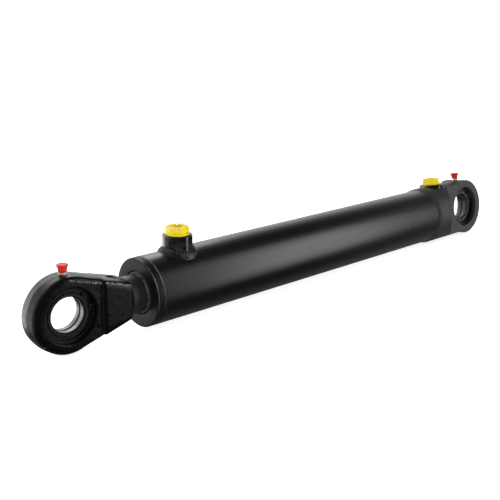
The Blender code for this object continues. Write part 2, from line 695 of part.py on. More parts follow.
def make_bearing(word, frame, centre, half_width):
    """A spherical plain bearing and the two circlips that hold it in its eye."""
    ball = SPHERE_RADIUS - BALL_CLEARANCE
    tilt = math.degrees(math.asin(INNER_RING_HALF_WIDTH / ball))
    chamfer = 0.0008
    lead_in_radius = PIN_RADIUS + 0.0015
    groove_half = 0.0015
    groove_depth = 0.0009
    bore_half = INNER_RING_HALF_WIDTH - INNER_RING_LEAD_IN
    inner = arc(ball, tilt, -tilt, 4) + [
        (lead_in_radius, -INNER_RING_HALF_WIDTH),
        (PIN_RADIUS, -bore_half),
        (PIN_RADIUS, -groove_half),
        (PIN_RADIUS + groove_depth, -groove_half * 0.6),
        (PIN_RADIUS + groove_depth, groove_half * 0.6),
        (PIN_RADIUS, groove_half),
        (PIN_RADIUS, bore_half),
        (lead_in_radius, INNER_RING_HALF_WIDTH),
    ]
    turned(word + "_bearing_inner_ring", inner, "bearing_steel", frame, centre, ALONG_Y, BEARING_SEGMENTS)
    outer_radius = HOUSING_RADIUS - CLEARANCE
    edge = math.degrees(math.asin(OUTER_RING_HALF_WIDTH / SPHERE_RADIUS))
    outer = [
        (outer_radius - chamfer, OUTER_RING_HALF_WIDTH),
        (outer_radius, OUTER_RING_HALF_WIDTH - chamfer),
        (outer_radius, -OUTER_RING_HALF_WIDTH + chamfer),
        (outer_radius - chamfer, -OUTER_RING_HALF_WIDTH),
    ] + arc(SPHERE_RADIUS, -edge, edge, 4)
    turned(word + "_bearing_outer_ring", outer, "phosphated_steel", frame, centre, ALONG_Y, BEARING_SEGMENTS)
    for side, side_word in ((-1, "near"), (1, "far")):
        offset = side * (OUTER_RING_HALF_WIDTH + CLEARANCE + CIRCLIP_THICKNESS / 2)
        place_of_clip = (centre[0], centre[1] + offset, centre[2])
        extruded(word + "_circlip_" + side_word, circlip_outlines(), CIRCLIP_THICKNESS / 2,
                 "phosphated_steel", frame, place_of_clip, (math.pi / 2, 0.0, 0.0))


def circlip_outlines():
    """An internal circlip: open ring with two lugs, and a plier hole in each lug."""
    middle = 25.0
    outer = CIRCLIP_GROOVE_RADIUS - CLEARANCE
    inner = 0.0253
    lug_inner = 0.0222
    gap_half = 11.0
    lug_half = 12.0
    ring = arc(outer, middle + gap_half, middle + 360.0 - gap_half, 22)
    ring += arc(lug_inner, middle - gap_half, middle - gap_half - lug_half, 3)
    ring += arc(inner, middle - gap_half - lug_half - 3.0, middle + gap_half + lug_half + 3.0 - 360.0, 20)
    ring += arc(lug_inner, middle + gap_half + lug_half, middle + gap_half, 3)
    outlines = [ring]
    for side in (-1, 1):
        angle = math.radians(middle + side * (gap_half + lug_half / 2))
        centre = (0.0240 * math.cos(angle), 0.0240 * math.sin(angle))
        outlines.append(arc(0.0012, 0, 360, 6, centre)[:-1])
    return outlines


def make_nipple(word, eye_radius, lift, frame, centre):
    """A grease nipple screwed into the top of an eye, standing proud by lift, under its plastic cap."""
    seat = eye_radius - 0.0006 + CLEARANCE + lift
    stem_length = eye_radius - HOUSING_RADIUS - 0.002
    base = (centre[0], centre[1], centre[2] + seat)
    nipple = turned(word + "_grease_nipple", [
        (0.0, 0.0078), (0.0018, 0.0078), (0.0028, 0.0066), (0.0021, 0.0046), (0.0021, 0.0038),
        (0.0031, 0.0034), (0.0031, 0.0010), (0.0030, 0.0), (0.0030, -stem_length), (0.0, -stem_length)],
        "zinc", frame, base, ALONG_Z, SMALL_SEGMENTS)
    hexagon = prism(word + "_nipple_hexagon", 6, 0.0045, 0.0, 0.0024, frame, base, math.radians(15))
    combine(nipple, hexagon, "UNION")
    turned(word + "_nipple_cap", [
        (0.0, 0.0092), (0.0044, 0.0092), (0.0056, 0.0088), (0.0056, 0.0076), (0.0045, 0.0062),
        (0.0041, 0.0027), (0.0034, 0.0027), (0.0034, 0.0081), (0.0, 0.0081)],
        "red_plastic", frame, base, ALONG_Z, SMALL_SEGMENTS)


clear_scene()
parts = new_collection("hydraulic_cylinder")
cutters = new_collection("cutters")
front_frame = axis_frame("front_port_frame", turn=FRONT_TURN)
rod_frame = axis_frame("rod_end_frame", turn=FRONT_TURN)

make_tube()
make_base_weld()
make_base_end()
make_port("front", FRONT_PORT_X, FRONT_RIM_HEIGHT, 0.0300, FRONT_BEAD_RADIUS, TUBE_RADIUS, front_frame,
          math.radians(23))
make_port("rear", REAR_PORT_X, REAR_RIM_HEIGHT, REAR_RIM_HEIGHT - PORT_THREAD_DEPTH - CLEARANCE,
          REAR_BEAD_RADIUS, BASE_RADIUS, None, math.radians(35))
make_gland()
make_piston()
make_rod()
make_rod_end()
make_bearing("rod_end", rod_frame, (ROD_EYE_X, 0, 0), ROD_EYE_HALF_WIDTH)
make_bearing("base", None, (0, 0, 0), BASE_EYE_HALF_WIDTH)
make_nipple("rod_end", ROD_EYE_RADIUS, 0.0, rod_frame, (ROD_NIPPLE_X, 0, 0))
make_nipple("base", BASE_EYE_RADIUS, BASE_NIPPLE_LIFT, None, (0, 0, 0))
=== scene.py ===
"""Looks of the hydraulic cylinder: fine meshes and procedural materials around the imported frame.

All lengths are metres in the frame's own axes: X along the cylinder towards the base, Y along the
base pin, Z up.  The rod end and the front port stand turned round X by TURN.  Turned pieces are
profiles of (radius, height) points round their own axis, which ALONG_X, ALONG_Y and LEAN then place.
"""
import json
import math

import bmesh
import bpy
from mathutils import Matrix, Vector, noise


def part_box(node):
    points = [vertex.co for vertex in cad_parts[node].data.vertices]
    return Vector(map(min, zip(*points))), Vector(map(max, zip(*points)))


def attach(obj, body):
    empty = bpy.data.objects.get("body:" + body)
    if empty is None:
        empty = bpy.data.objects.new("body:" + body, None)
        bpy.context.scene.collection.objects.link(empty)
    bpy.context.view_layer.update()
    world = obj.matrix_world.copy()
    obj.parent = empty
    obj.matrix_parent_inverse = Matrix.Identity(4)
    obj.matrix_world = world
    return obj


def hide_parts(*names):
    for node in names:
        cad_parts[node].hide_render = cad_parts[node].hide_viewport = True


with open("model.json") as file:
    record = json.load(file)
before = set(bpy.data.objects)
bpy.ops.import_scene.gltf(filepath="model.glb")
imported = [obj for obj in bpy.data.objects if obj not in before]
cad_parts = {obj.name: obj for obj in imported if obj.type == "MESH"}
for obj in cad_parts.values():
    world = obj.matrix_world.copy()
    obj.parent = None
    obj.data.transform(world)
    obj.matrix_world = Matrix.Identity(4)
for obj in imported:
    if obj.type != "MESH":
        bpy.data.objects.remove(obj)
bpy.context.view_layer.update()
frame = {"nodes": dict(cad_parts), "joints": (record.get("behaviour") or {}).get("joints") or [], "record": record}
nodes = frame["nodes"]
joints = {joint["name"]: joint for joint in frame["joints"]}
mounts = {mount["name"]: mount for mount in frame["record"]["mounts"]}

# ---------------------------------------------------------------- sizes that the frame gives


def half_height(node):
    """Half of a node's height: the radius of a round node on the cylinder's axis."""
    low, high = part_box(node)
    return (high.z - low.z) / 2


def middle_x(node):
    """Where the middle of a node lies along the cylinder."""
    low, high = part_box(node)
    return (low.x + high.x) / 2


def rim_height(name):
    """Distance of a port's rim from the cylinder's axis."""
    place = Vector(mounts[name]["pos_m"])
    return place.dot(Vector(mounts[name]["axis"]))


CLEARANCE = 0.0003  # between pieces that sit in each other
EYE_AXIS = Vector(joints["rod_end_ball_turn"]["axis"])
TURN = math.atan2(EYE_AXIS.z, EYE_AXIS.y)
ROD_EYE_X = joints["rod_end_ball_turn"]["pos_m"][0]
TUBE_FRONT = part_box("cylinder_tube")[0].x
TUBE_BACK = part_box("cylinder_tube")[1].x
TUBE_RADIUS = half_height("cylinder_tube")
GLAND_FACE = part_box("gland")[0].x
GLAND_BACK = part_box("gland")[1].x
BASE_RADIUS = half_height("base_weld")
BASE_EYE_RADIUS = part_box("base_end")[1].x
BASE_EYE_HALF = abs(mounts["base_cheek_near"]["pos_m"][1])
ROD_EYE_RADIUS = ROD_EYE_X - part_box("rod_end")[0].x
ROD_EYE_HALF = Vector(mounts["rod_end_cheek_far"]["pos_m"]).dot(EYE_AXIS)
SHANK_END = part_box("rod_end")[1].x - ROD_EYE_X
FRONT_PORT_X = middle_x("front_port_boss")
REAR_PORT_X = middle_x("rear_port_boss")
BOSS_RADIUS = (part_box("rear_port_boss")[1].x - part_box("rear_port_boss")[0].x) / 2
FRONT_RIM = rim_height("front_port_rim")
REAR_RIM = rim_height("rear_port_rim")
RING_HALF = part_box("base_bearing_inner_ring")[1].y
OUTER_RING_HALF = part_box("base_bearing_outer_ring")[1].y
HOUSING_RADIUS = half_height("base_bearing_outer_ring") + CLEARANCE
ROD_SHOULDER = ROD_EYE_X + SHANK_END

# ---------------------------------------------------------------- sizes of the details
BORE_RADIUS = 0.0315
ROD_RADIUS = 0.0200
PIN_RADIUS = 0.0175
SPHERE_RADIUS = 0.0235
GROOVE_RADIUS = 0.0290
GROOVE_WIDTH = 0.0026
EYE_ROUNDING = 0.0060
FORGING_DRAFT = 0.0007
SHANK_START = 0.0330
SHANK_HALF = 0.0185
SHANK_ROUNDING = 0.0050
SHANK_TAPER = math.radians(17.4)
SET_SCREW_X = 0.0570
SET_SCREW_RADIUS = 0.0050
SHOULDER_X = -0.0658
THREAD_RADIUS = 0.01045
THREAD_PITCH = 0.0018
FRONT_BEAD = 0.0048
REAR_BEAD = 0.0013
FRONT_FOOT = 0.0330
REAR_FOOT = 0.0260
PLUG_SEAT = 0.0003
PLUG_FLANGE_RADIUS = 0.0133
PLUG_FLANGE = 0.0020
PLUG_CORNER = 0.0127
PLUG_HEIGHT = 0.0082
PLUG_STEM = 0.0100
PLUG_WELL_RADIUS = 0.00605
PLUG_TURNS = {"front": math.radians(23), "rear": math.radians(35)}
SLOT_TURNS = {"front": math.radians(54), "rear": math.radians(80)}
PLUG_SLOT_DEPTH = 0.0014
COLLAR = 0.0080
MOUTH_RADIUS = 0.0222
MOUTH_DEPTH = 0.0080
WELD_BACK = 0.0034
NIPPLE_TOP = 0.0078
HEXAGON_HEIGHT = 0.0015
BOSS_BORE_DEPTH = 0.0140

X = Vector((1, 0, 0))
Z = Vector((0, 0, 1))
ROUND_STEPS = 144
SMALL_STEPS = 64

ALONG_X = Matrix.Rotation(math.pi / 2, 4, "Y")
ALONG_Y = Matrix.Rotation(-math.pi / 2, 4, "X")
ALONG_Z = Matrix.Identity(4)
LEAN = Matrix.Rotation(TURN, 4, "X")
UPRIGHT = Matrix.Identity(4)


def at(x, y=0.0, z=0.0):
    """A move along the frame's axes."""
    return Matrix.Translation((x, y, z))


# ---------------------------------------------------------------- materials


class Nodes:
    """A short way to build one procedural material."""

    def __init__(self, name):
        self.material = bpy.data.materials.new(name)
        self.material.use_nodes = True
        self.tree = self.material.node_tree
        self.shader = self.tree.nodes["Principled BSDF"]
        self.coordinates = self.tree.nodes.new("ShaderNodeTexCoord").outputs["Object"]

    def add(self, kind, **inputs):
        """A new node with its inputs linked or set."""
        node = self.tree.nodes.new(kind)
        for key, value in inputs.items():
            socket = node.inputs[key.replace("_", " ")]
            if isinstance(value, bpy.types.NodeSocket):
                self.tree.links.new(value, socket)
            else:
                socket.default_value = value
        return node

    def noise(self, scale, stretch=(1, 1, 1), detail=3.0, roughness=0.55, shift=0.0):
        """Noise from 0 to 1, with so many patches to the metre."""
        spread = self.add("ShaderNodeMapping", Vector=self.coordinates, Scale=stretch,
                          Location=(shift, shift * 0.7, -shift))
        texture = self.add("ShaderNodeTexNoise", Vector=spread.outputs[0], Scale=scale, Detail=detail,
                           Roughness=roughness)
        return texture.outputs[0]

    def spread(self, value, low, high, start=0.3, end=0.7):
        """A number between low and high where value goes from start to end."""
        node = self.add("ShaderNodeMapRange", Value=value)
        node.inputs["From Min"].default_value = start
        node.inputs["From Max"].default_value = end
        node.inputs["To Min"].default_value = low
        node.inputs["To Max"].default_value = high
        return node.outputs[0]

    def mixed(self, factor, first, second):
        """A colour between two colours."""
        node = self.tree.nodes.new("ShaderNodeMix")
        node.data_type = "RGBA"
        self.tree.links.new(factor, node.inputs[0])
        for socket, value in ((node.inputs[6], first), (node.inputs[7], second)):
            if isinstance(value, bpy.types.NodeSocket):
                self.tree.links.new(value, socket)
            else:
                socket.default_value = (*value, 1.0)
        return node.outputs[2]

    def calculate(self, operation, first, second=None):
        """One step of arithmetic on sockets or numbers."""
        node = self.tree.nodes.new("ShaderNodeMath")
        node.operation = operation
        for socket, value in zip(node.inputs, (first, second)):
            if isinstance(value, bpy.types.NodeSocket):
                self.tree.links.new(value, socket)
            elif value is not None:
                socket.default_value = value
        return node.outputs[0]

    def product(self, first, second):
        """Both numbers multiplied."""
        return self.calculate("MULTIPLY", first, second)

    def larger(self, first, second):
        """The larger of two numbers."""
        return self.calculate("MAXIMUM", first, second)

    def bump(self, height, depth, before=None):
        """The surface raised by depth where height is 1, on top of an earlier bump."""
        node = self.add("ShaderNodeBump", Height=height, Distance=depth, Strength=1.0)
        if before is not None:
            self.tree.links.new(before, node.inputs["Normal"])
        return node.outputs[0]

    def edges(self, start, end):
        """1 on convex edges, 0 elsewhere, from a pointiness of start to one of end."""
        geometry = self.tree.nodes.new("ShaderNodeNewGeometry")
        return self.spread(geometry.outputs["Pointiness"], 0.0, 1.0, start, end)

    def along(self, direction):
        """How far a point lies along a direction."""
        dot = self.tree.nodes.new("ShaderNodeVectorMath")
        dot.operation = "DOT_PRODUCT"
        self.tree.links.new(self.coordinates, dot.inputs[0])
        dot.inputs[1].default_value = direction
        return dot.outputs["Value"]

    def near(self, direction, place, half_width):
        """1 where a point lies within the half width of a place along a direction, 0 elsewhere."""
        offset = self.calculate("SUBTRACT", self.along(direction), place)
        return self.spread(self.calculate("ABSOLUTE", offset), 1.0, 0.0, half_width * 0.6, half_width)

    def rubbed_highlight_ring(self, place, half_width, least, shift):
        """A thin patchy line round the cylinder, more so on the upper half: rubbed paint and a painted highlight.
        """
        patches = self.spread(self.noise(90, shift=shift), least, 1.0, 0.35, 0.6)
        # Kept to the upper half, where the painted highlight falls.
        patchy_upper_highlight = self.product(patches, self.spread(self.along(Z), 0.0, 1.0, -0.020, 0.020))
        return self.product(self.near(X, place, half_width), patchy_upper_highlight)

    def beyond_radius(self, radius):
        """1 farther than a radius from the cylinder's axis, 0 nearer."""
        flat = self.add("ShaderNodeVectorMath")
        flat.operation = "MULTIPLY"
        self.tree.links.new(self.coordinates, flat.inputs[0])
        flat.inputs[1].default_value = (0.0, 1.0, 1.0)
        length = self.tree.nodes.new("ShaderNodeVectorMath")
        length.operation = "LENGTH"
        self.tree.links.new(flat.outputs[0], length.inputs[0])
        return self.spread(length.outputs["Value"], 0.0, 1.0, radius, radius + 0.0002)

    def finish(self, colour, roughness, normal=None, **fixed):
        """Link colour, roughness and normal; what is the same all over is set on the shader."""
        self.tree.links.new(colour, self.shader.inputs["Base Color"])
        self.tree.links.new(roughness, self.shader.inputs["Roughness"])
        if normal is not None:
            self.tree.links.new(normal, self.shader.inputs["Normal"])
        for key, value in fixed.items():
            self.shader.inputs[key.replace("_", " ")].default_value = value
        return self.material


def tube_paint():
    """Satin black paint over drawn tube: faint streaks along X, a fine orange peel, a pale front edge line, partly
    rubbed paint and partly a painted highlight, and a slight painted brightening towards the base."""
    n = Nodes("tube_black_paint")
    streaks = n.noise(60, (0.05, 1.0, 1.0), 4)
    cloud = n.noise(22, (0.4, 1, 1), 3, shift=3.0)
    base = n.mixed(n.spread(cloud, 0, 1), (0.0030, 0.0032, 0.0032), (0.0050, 0.0052, 0.0051))
    # Painted brightening: the colour grows paler towards the base, standing in for the stronger light there.
    painted_brightening = n.mixed(n.spread(n.along(X), 0.0, 1.0, -0.36, -0.04), base, (0.0140, 0.0146, 0.0140))
    # Pale line at the front edge: partly rubbed paint, partly a painted highlight.
    pale_marks = n.rubbed_highlight_ring(TUBE_FRONT + 0.0002, 0.0006, 0.15, 9.0)
    colour = n.mixed(pale_marks, painted_brightening, (0.17, 0.17, 0.16))
    rough = n.spread(streaks, 0.26, 0.34)
    peel = n.bump(n.noise(900, detail=2), 0.000018)
    normal = n.bump(n.noise(150, (0.06, 1, 1), 3, shift=5.0), 0.00010, peel)
    return n.finish(colour, rough, normal, Specular_IOR_Level=0.5)


def machined_paint(name, roughness, dark, gloss):
    """The same black paint over turned steel: fine turning marks under it and edges that show lighter."""
    n = Nodes(name)
    cloud = n.noise(40, detail=4)
    light = (dark * 1.5, dark * 1.55, dark * 1.5)
    base = n.mixed(n.spread(cloud, 0, 1), (dark, dark * 1.05, dark * 1.05), light)
    pale_marks = n.product(n.edges(0.53, 0.62), n.spread(n.noise(300, shift=2.0), 0.0, 1.0, 0.42, 0.62))
    colour = n.mixed(pale_marks, base, (0.055, 0.056, 0.054))
    rough = n.spread(n.noise(90, detail=4), *roughness)
    peel = n.bump(n.noise(1100, detail=2), 0.00002)
    normal = n.bump(n.noise(500, (2.0, 0.1, 0.1), 2, shift=1.0), 0.00002, peel)
    return n.finish(colour, rough, normal, Specular_IOR_Level=gloss)


def forging_paint():
    """Black paint over a forged skin: pitted grain, soft scale marks, chipped high edges, and a broken pale line
    along the upper edges of the near flank, partly chipped paint and partly a painted highlight."""
    n = Nodes("forging_black_paint")
    cloud = n.noise(55, detail=5)
    base = n.mixed(n.spread(cloud, 0, 1), (0.0010, 0.0011, 0.0010), (0.0024, 0.0025, 0.0023))
    patches = n.spread(n.noise(420, detail=3, shift=4.0), 0.0, 1.0, 0.50, 0.60)
    pale_edge_marks = n.product(n.edges(0.56, 0.62), patches)
    # A pale line along the upper edges of the near flank, on the eye and the shank: partly chipped paint, partly a
    # painted highlight where light catches these edges.
    upwards = LEAN @ Vector((math.sin(SHANK_TAPER), 0, math.cos(SHANK_TAPER)))
    crest = ROD_EYE_X * math.sin(SHANK_TAPER) + ROD_EYE_RADIUS
    side = LEAN @ Vector((0, -1, 0))
    eye_side = n.near(side, ROD_EYE_HALF - 0.0004, 0.0012)
    eye_edge_highlight = n.product(n.near(upwards, crest - EYE_ROUNDING * 0.85, 0.0008), eye_side)
    eye_edge_highlight = n.product(eye_edge_highlight, n.spread(n.along(X), 0.0, 1.0, ROD_EYE_X - 0.004, ROD_EYE_X + 0.006))
    shank_side = n.near(side, SHANK_HALF - 0.0010, 0.0014)
    shank_edge_highlight = n.product(n.near(upwards, crest - 0.0032, 0.0011), shank_side)
    flaked_highlight = n.spread(n.noise(330, (1.0, 1.0, 2.0), 3, shift=8.0), 0.0, 1.0, 0.47, 0.56)
    # Edge chips joined with the painted highlight line.
    pale_edge_marks = n.larger(pale_edge_marks, n.product(n.larger(eye_edge_highlight, shank_edge_highlight), flaked_highlight))
    colour = n.mixed(pale_edge_marks, base, (0.20, 0.195, 0.18))
    rough = n.spread(n.noise(300, (0.25, 2.4, 0.25), 3, shift=2.0), 0.20, 0.42)
    grain = n.bump(n.noise(650, detail=4, roughness=0.6), 0.00010)
    scale = n.bump(n.noise(120, (1, 1, 1.6), 3, shift=6.0), 0.00028, grain)
    return n.finish(colour, rough, scale, Specular_IOR_Level=0.21)


def weld_paint():
    """Black paint over a weld: glossier, with spatter grain."""
    n = Nodes("weld_black_paint")
    cloud = n.noise(140, detail=4)
    base = n.mixed(n.spread(cloud, 0, 1), (0.0030, 0.0030, 0.0030), (0.0065, 0.0065, 0.0062))
    pale_marks = n.product(n.edges(0.53, 0.62), n.spread(n.noise(500), 0, 1, 0.5, 0.65))
    colour = n.mixed(pale_marks, base, (0.06, 0.06, 0.056))
    rough = n.spread(n.noise(200, detail=3, shift=1.0), 0.17, 0.28)
    spatter = n.bump(n.noise(560, detail=3), 0.00016)
    normal = n.bump(n.noise(230, detail=2, shift=4.0), 0.0005, spatter)
    return n.finish(colour, rough, normal, Specular_IOR_Level=0.36)


def gland_paint():
    """Satin black paint over the turned gland, its front edge lined with rubbed paint and a painted highlight."""
    n = Nodes("gland_black")
    cloud = n.noise(45, detail=4)
    base = n.mixed(n.spread(cloud, 0, 1), (0.0042, 0.0047, 0.0047), (0.0068, 0.0074, 0.0073))
    # Pale line round the front edge: partly rubbed paint, partly a painted highlight.
    line = n.rubbed_highlight_ring(GLAND_FACE + 0.0009, 0.0005, 0.1, 3.0)
    pale_marks = n.product(line, n.beyond_radius(TUBE_RADIUS - 0.0020))
    colour = n.mixed(pale_marks, base, (0.16, 0.16, 0.15))
    rough = n.spread(n.noise(160, detail=3), 0.34, 0.42)
    normal = n.bump(n.noise(1300, detail=2), 0.00003)
    return n.finish(colour, rough, normal, Specular_IOR_Level=0.08)


def chrome():
    """Hard chrome: polishing marks round the rod, oil-dulled patches, and black at the rod end in front of the
    gland.
    """
    n = Nodes("chrome_rod")
    cloud = n.noise(35, detail=4)
    steel = n.mixed(n.spread(cloud, 0, 1), (0.52, 0.53, 0.55), (0.60, 0.61, 0.62))
    rough = n.spread(n.noise(260, (6.0, 0.3, 0.3), 2, shift=2.0), 0.09, 0.17)
    normal = n.bump(n.noise(900, (6.0, 0.1, 0.1), 2), 0.000004)
    axis = n.add("ShaderNodeSeparateXYZ", Vector=n.coordinates).outputs[0]
    ragged = n.calculate("ADD", axis, n.spread(n.noise(240, shift=7.0), -0.0015, 0.0015))
    # Black, rough and not metallic in front of the gland.
    dark_rod_end = n.spread(ragged, 1.0, 0.0, GLAND_FACE - 0.0010, GLAND_FACE + 0.0010)
    colour = n.mixed(dark_rod_end, steel, (0.012, 0.012, 0.012))
    blend = n.tree.nodes.new("ShaderNodeMix")
    n.tree.links.new(dark_rod_end, blend.inputs[0])
    n.tree.links.new(rough, blend.inputs[2])
    blend.inputs[3].default_value = 0.45
    material = n.finish(colour, blend.outputs[0], normal)
    n.tree.links.new(n.spread(dark_rod_end, 1.0, 0.0, 0.0, 1.0), n.shader.inputs["Metallic"])
    return material


def ground_ring(name, half_width, lean):
    """A bearing's inner ring, its axis turned by lean from Y: grey ground bore, and black faces, lead-ins
    and grease groove."""
    n = Nodes(name)
    steel = n.mixed(n.spread(n.noise(110, detail=4), 0, 1), (0.11, 0.11, 0.107), (0.19, 0.19, 0.184))
    rough = n.spread(n.noise(500, (0.4, 4.0, 0.4), 3, shift=2.0), 0.34, 0.46)
    normal = n.bump(n.noise(900, (0.4, 4.0, 0.4), 2, shift=5.0), 0.00001)
    turned = n.add("ShaderNodeVectorRotate", Vector=n.coordinates, Angle=-lean)
    turned.inputs["Axis"].default_value = (1.0, 0.0, 0.0)
    along_pin = n.add("ShaderNodeSeparateXYZ", Vector=turned.outputs[0]).outputs[1]
    across = n.calculate("ABSOLUTE", along_pin)
    face = n.spread(across, 0.0, 1.0, half_width - 0.0022, half_width - 0.0016)
    channel = n.spread(across, 1.0, 0.0, 0.0006, 0.0013)
    dark = n.larger(face, channel)
    colour = n.mixed(dark, steel, (0.005, 0.005, 0.005))
    material = n.finish(colour, rough, normal)
    n.tree.links.new(n.spread(dark, 1.0, 0.2, 0.0, 1.0), n.shader.inputs["Metallic"])
    return material


def metal(name, dark, light, roughness, grain_scale, grain_depth, stretch=(1, 1, 1), metallic=1.0):
    """Bare or plated metal with patches, a grain and varied roughness."""
    n = Nodes(name)
    colour = n.mixed(n.spread(n.noise(grain_scale * 0.12, detail=4), 0, 1), dark, light)
    rough = n.spread(n.noise(grain_scale * 0.5, stretch, 3, shift=2.0), *roughness)
    normal = n.bump(n.noise(grain_scale, stretch, 2, shift=5.0), grain_depth)
    return n.finish(colour, rough, normal, Metallic=metallic)


def moulded(name, dark, light, roughness, subsurface, edge):
    """Moulded plastic: soft colour drift, slightly scuffed edges and a fine moulded skin."""
    n = Nodes(name)
    base = n.mixed(n.spread(n.noise(120, detail=3), 0, 1), dark, light)
    scuffs = n.product(n.edges(0.52, 0.60), n.spread(n.noise(700, shift=3.0), 0.0, 0.8))
    colour = n.mixed(scuffs, base, edge)
    rough = n.spread(n.noise(350, detail=3, shift=2.0), *roughness)
    normal = n.bump(n.noise(1600, detail=2, shift=4.0), 0.00003)
    return n.finish(colour, rough, normal, Subsurface_Weight=subsurface, Subsurface_Scale=0.002,
                    Specular_IOR_Level=0.30)


TUBE_PAINT = tube_paint()
# Far lighter than the boss paint below, though the same paint: a painted brightening for the stronger light on the
# base end and its weld.
BRIGHTENED_MACHINED_PAINT = machined_paint("machined_black_paint_brightened", (0.38, 0.48), 0.0190, 0.32)
BOSS_PAINT = machined_paint("boss_black_paint", (0.11, 0.18), 0.0022, 0.40)
FORGING_PAINT = forging_paint()
WELD_PAINT = weld_paint()
GLAND_PAINT = gland_paint()
CHROME = chrome()
GROUND_STEEL = ground_ring("ground_bearing_steel", RING_HALF, TURN)
# A darker copy of the bearing steel, for the base bearing's inner ring.
DULL_STEEL = metal("darker_bearing_steel", (0.030, 0.031, 0.031), (0.055, 0.056, 0.054), (0.34, 0.48), 700,
                   0.00002, (0.4, 3.0, 0.4), 0.6)
PHOSPHATE = metal("black_phosphate", (0.004, 0.004, 0.004), (0.010, 0.010, 0.0095), (0.40, 0.56), 1200,
                  0.00003, metallic=0.3)
ZINC = metal("bright_zinc", (0.62, 0.62, 0.61), (0.80, 0.80, 0.78), (0.28, 0.42), 1100, 0.00002,
             metallic=0.6)
TURNED_STEEL = metal("turned_steel", (0.30, 0.30, 0.31), (0.45, 0.45, 0.46), (0.28, 0.42), 900, 0.00001,
                     (5.0, 0.2, 0.2))
YELLOW = moulded("yellow_plastic", (0.70, 0.52, 0.008), (0.81, 0.63, 0.013), (0.34, 0.48), 0.08,
                 (0.90, 0.76, 0.12))
RED = moulded("red_plastic", (0.50, 0.012, 0.009), (0.62, 0.020, 0.014), (0.28, 0.42), 0.06,
              (0.80, 0.09, 0.06))
RUBBER = moulded("seal_rubber", (0.014, 0.014, 0.015), (0.024, 0.024, 0.025), (0.60, 0.78), 0.0,
                 (0.05, 0.05, 0.05))
WIPER = moulded("oversprayed_wiper", (0.010, 0.011, 0.012), (0.016, 0.019, 0.023), (0.40, 0.56), 0.0,
                (0.05, 0.05, 0.05))
POLYURETHANE = moulded("seal_polyurethane", (0.07, 0.17, 0.27), (0.12, 0.24, 0.36), (0.42, 0.58), 0.05,
                       (0.22, 0.36, 0.48))
RESIN = moulded("guide_resin", (0.16, 0.10, 0.05), (0.24, 0.16, 0.09), (0.50, 0.66), 0.0,
                (0.32, 0.24, 0.15))

# ---------------------------------------------------------------- shapes


def arc(radius, start, end, steps):
    """Points along an arc round the origin, in degrees from start to end."""
    angles = [math.radians(start + (end - start) * i / steps) for i in range(steps + 1)]
    return [(radius * math.cos(angle), radius * math.sin(angle)) for angle in angles]


def rounded(outline, radius, closed=True, steps=4):
    """The outline with each corner rounded by as much as its two sides leave room for."""
    count = len(outline)
    result = []
    for i, corner in enumerate(outline):
        at_end = not closed and i in (0, count - 1)
        here = Vector(corner)
        to_last = Vector(outline[i - 1]) - here
        to_next = Vector(outline[(i + 1) % count]) - here
        doubled = to_last.length < 1e-9 or to_next.length < 1e-9
        if at_end or doubled or to_last.angle(to_next) > math.radians(160):
            result.append(tuple(here))
            continue
        size = min(radius, to_last.length * 0.45, to_next.length * 0.45)
        first = here + to_last.normalized() * size
        last = here + to_next.normalized() * size
        for k in range(steps + 1):
            t = k / steps
            result.append(tuple(first * (1 - t) ** 2 + here * (2 * t * (1 - t)) + last * t ** 2))
    return result


def mesh_object(name, verts, faces, matrix):
    """A new object from points and faces, its points placed by the matrix and its faces pointing out."""
    mesh = bpy.data.meshes.new(name)
    mesh.from_pydata([matrix @ Vector(v) for v in verts], [], faces)
    shape = bmesh.new()
    shape.from_mesh(mesh)
    bmesh.ops.remove_doubles(shape, verts=shape.verts, dist=1e-6)
    bmesh.ops.dissolve_degenerate(shape, edges=shape.edges, dist=1e-7)
    bmesh.ops.recalc_face_normals(shape, faces=shape.faces)
    shape.to_mesh(mesh)
    shape.free()
    obj = bpy.data.objects.new(name, mesh)
    bpy.context.scene.collection.objects.link(obj)
    return obj


def grid_faces(rows, count, closed=True):
    """Faces between rows of count points each, where the last row meets the first."""
    faces = []
    for i in range(rows):
        following = (i + 1) % rows
        for k in range(count if closed else count - 1):
            upper = (k + 1) % count
            here, there = i * count, following * count
            faces.append((here + k, there + k, there + upper, here + upper))
    return faces


def lathe(name, outline, matrix, steps=ROUND_STEPS, closed=True, displace=None):
    """Turn (radius, height) points round local Z; displace(angle, index) moves a point outwards."""
    verts = []
    for i in range(steps):
        angle = 2 * math.pi * i / steps
        for k, (radius, height) in enumerate(outline):
            reach = radius + (displace(angle, k) if displace else 0.0)
            verts.append((reach * math.cos(angle), reach * math.sin(angle), height))
    return mesh_object(name, verts, grid_faces(steps, len(outline), closed), matrix)


def loft(name, rings, matrix):
    """A skin through rings of equally many points, closed by its first and last ring."""
    count = len(rings[0])
    verts = [point for ring in rings for point in ring]
    faces = [tuple(range(count)), tuple(range(len(verts) - count, len(verts)))]
    for j in range(len(rings) - 1):
        for i in range(count):
            k = (i + 1) % count
            faces.append((j * count + i, j * count + k, (j + 1) * count + k, (j + 1) * count + i))
    return mesh_object(name, verts, faces, matrix)


def slab(name, outline, low, high, matrix):
    """A flat (x, y) outline extruded along local Z from low to high."""
    return loft(name, [[(x, y, height) for x, y in outline] for height in (low, high)], matrix)


def disc(name, radius, low, high, matrix, steps=ROUND_STEPS):
    """A plain round solid along local Z from low to high."""
    outline = [(0.0, high), (radius, high), (radius, low), (0.0, low)]
    return lathe(name, outline, matrix, steps, closed=False)


def apply_modifiers(obj):
    """Give an object the mesh that its modifiers make of it, and no modifiers."""
    graph = bpy.context.evaluated_depsgraph_get()
    bpy.context.view_layer.update()
    final = bpy.data.meshes.new_from_object(obj.evaluated_get(graph))
    old = obj.data
    obj.modifiers.clear()
    obj.data = final
    bpy.data.meshes.remove(old)
    final.name = obj.name


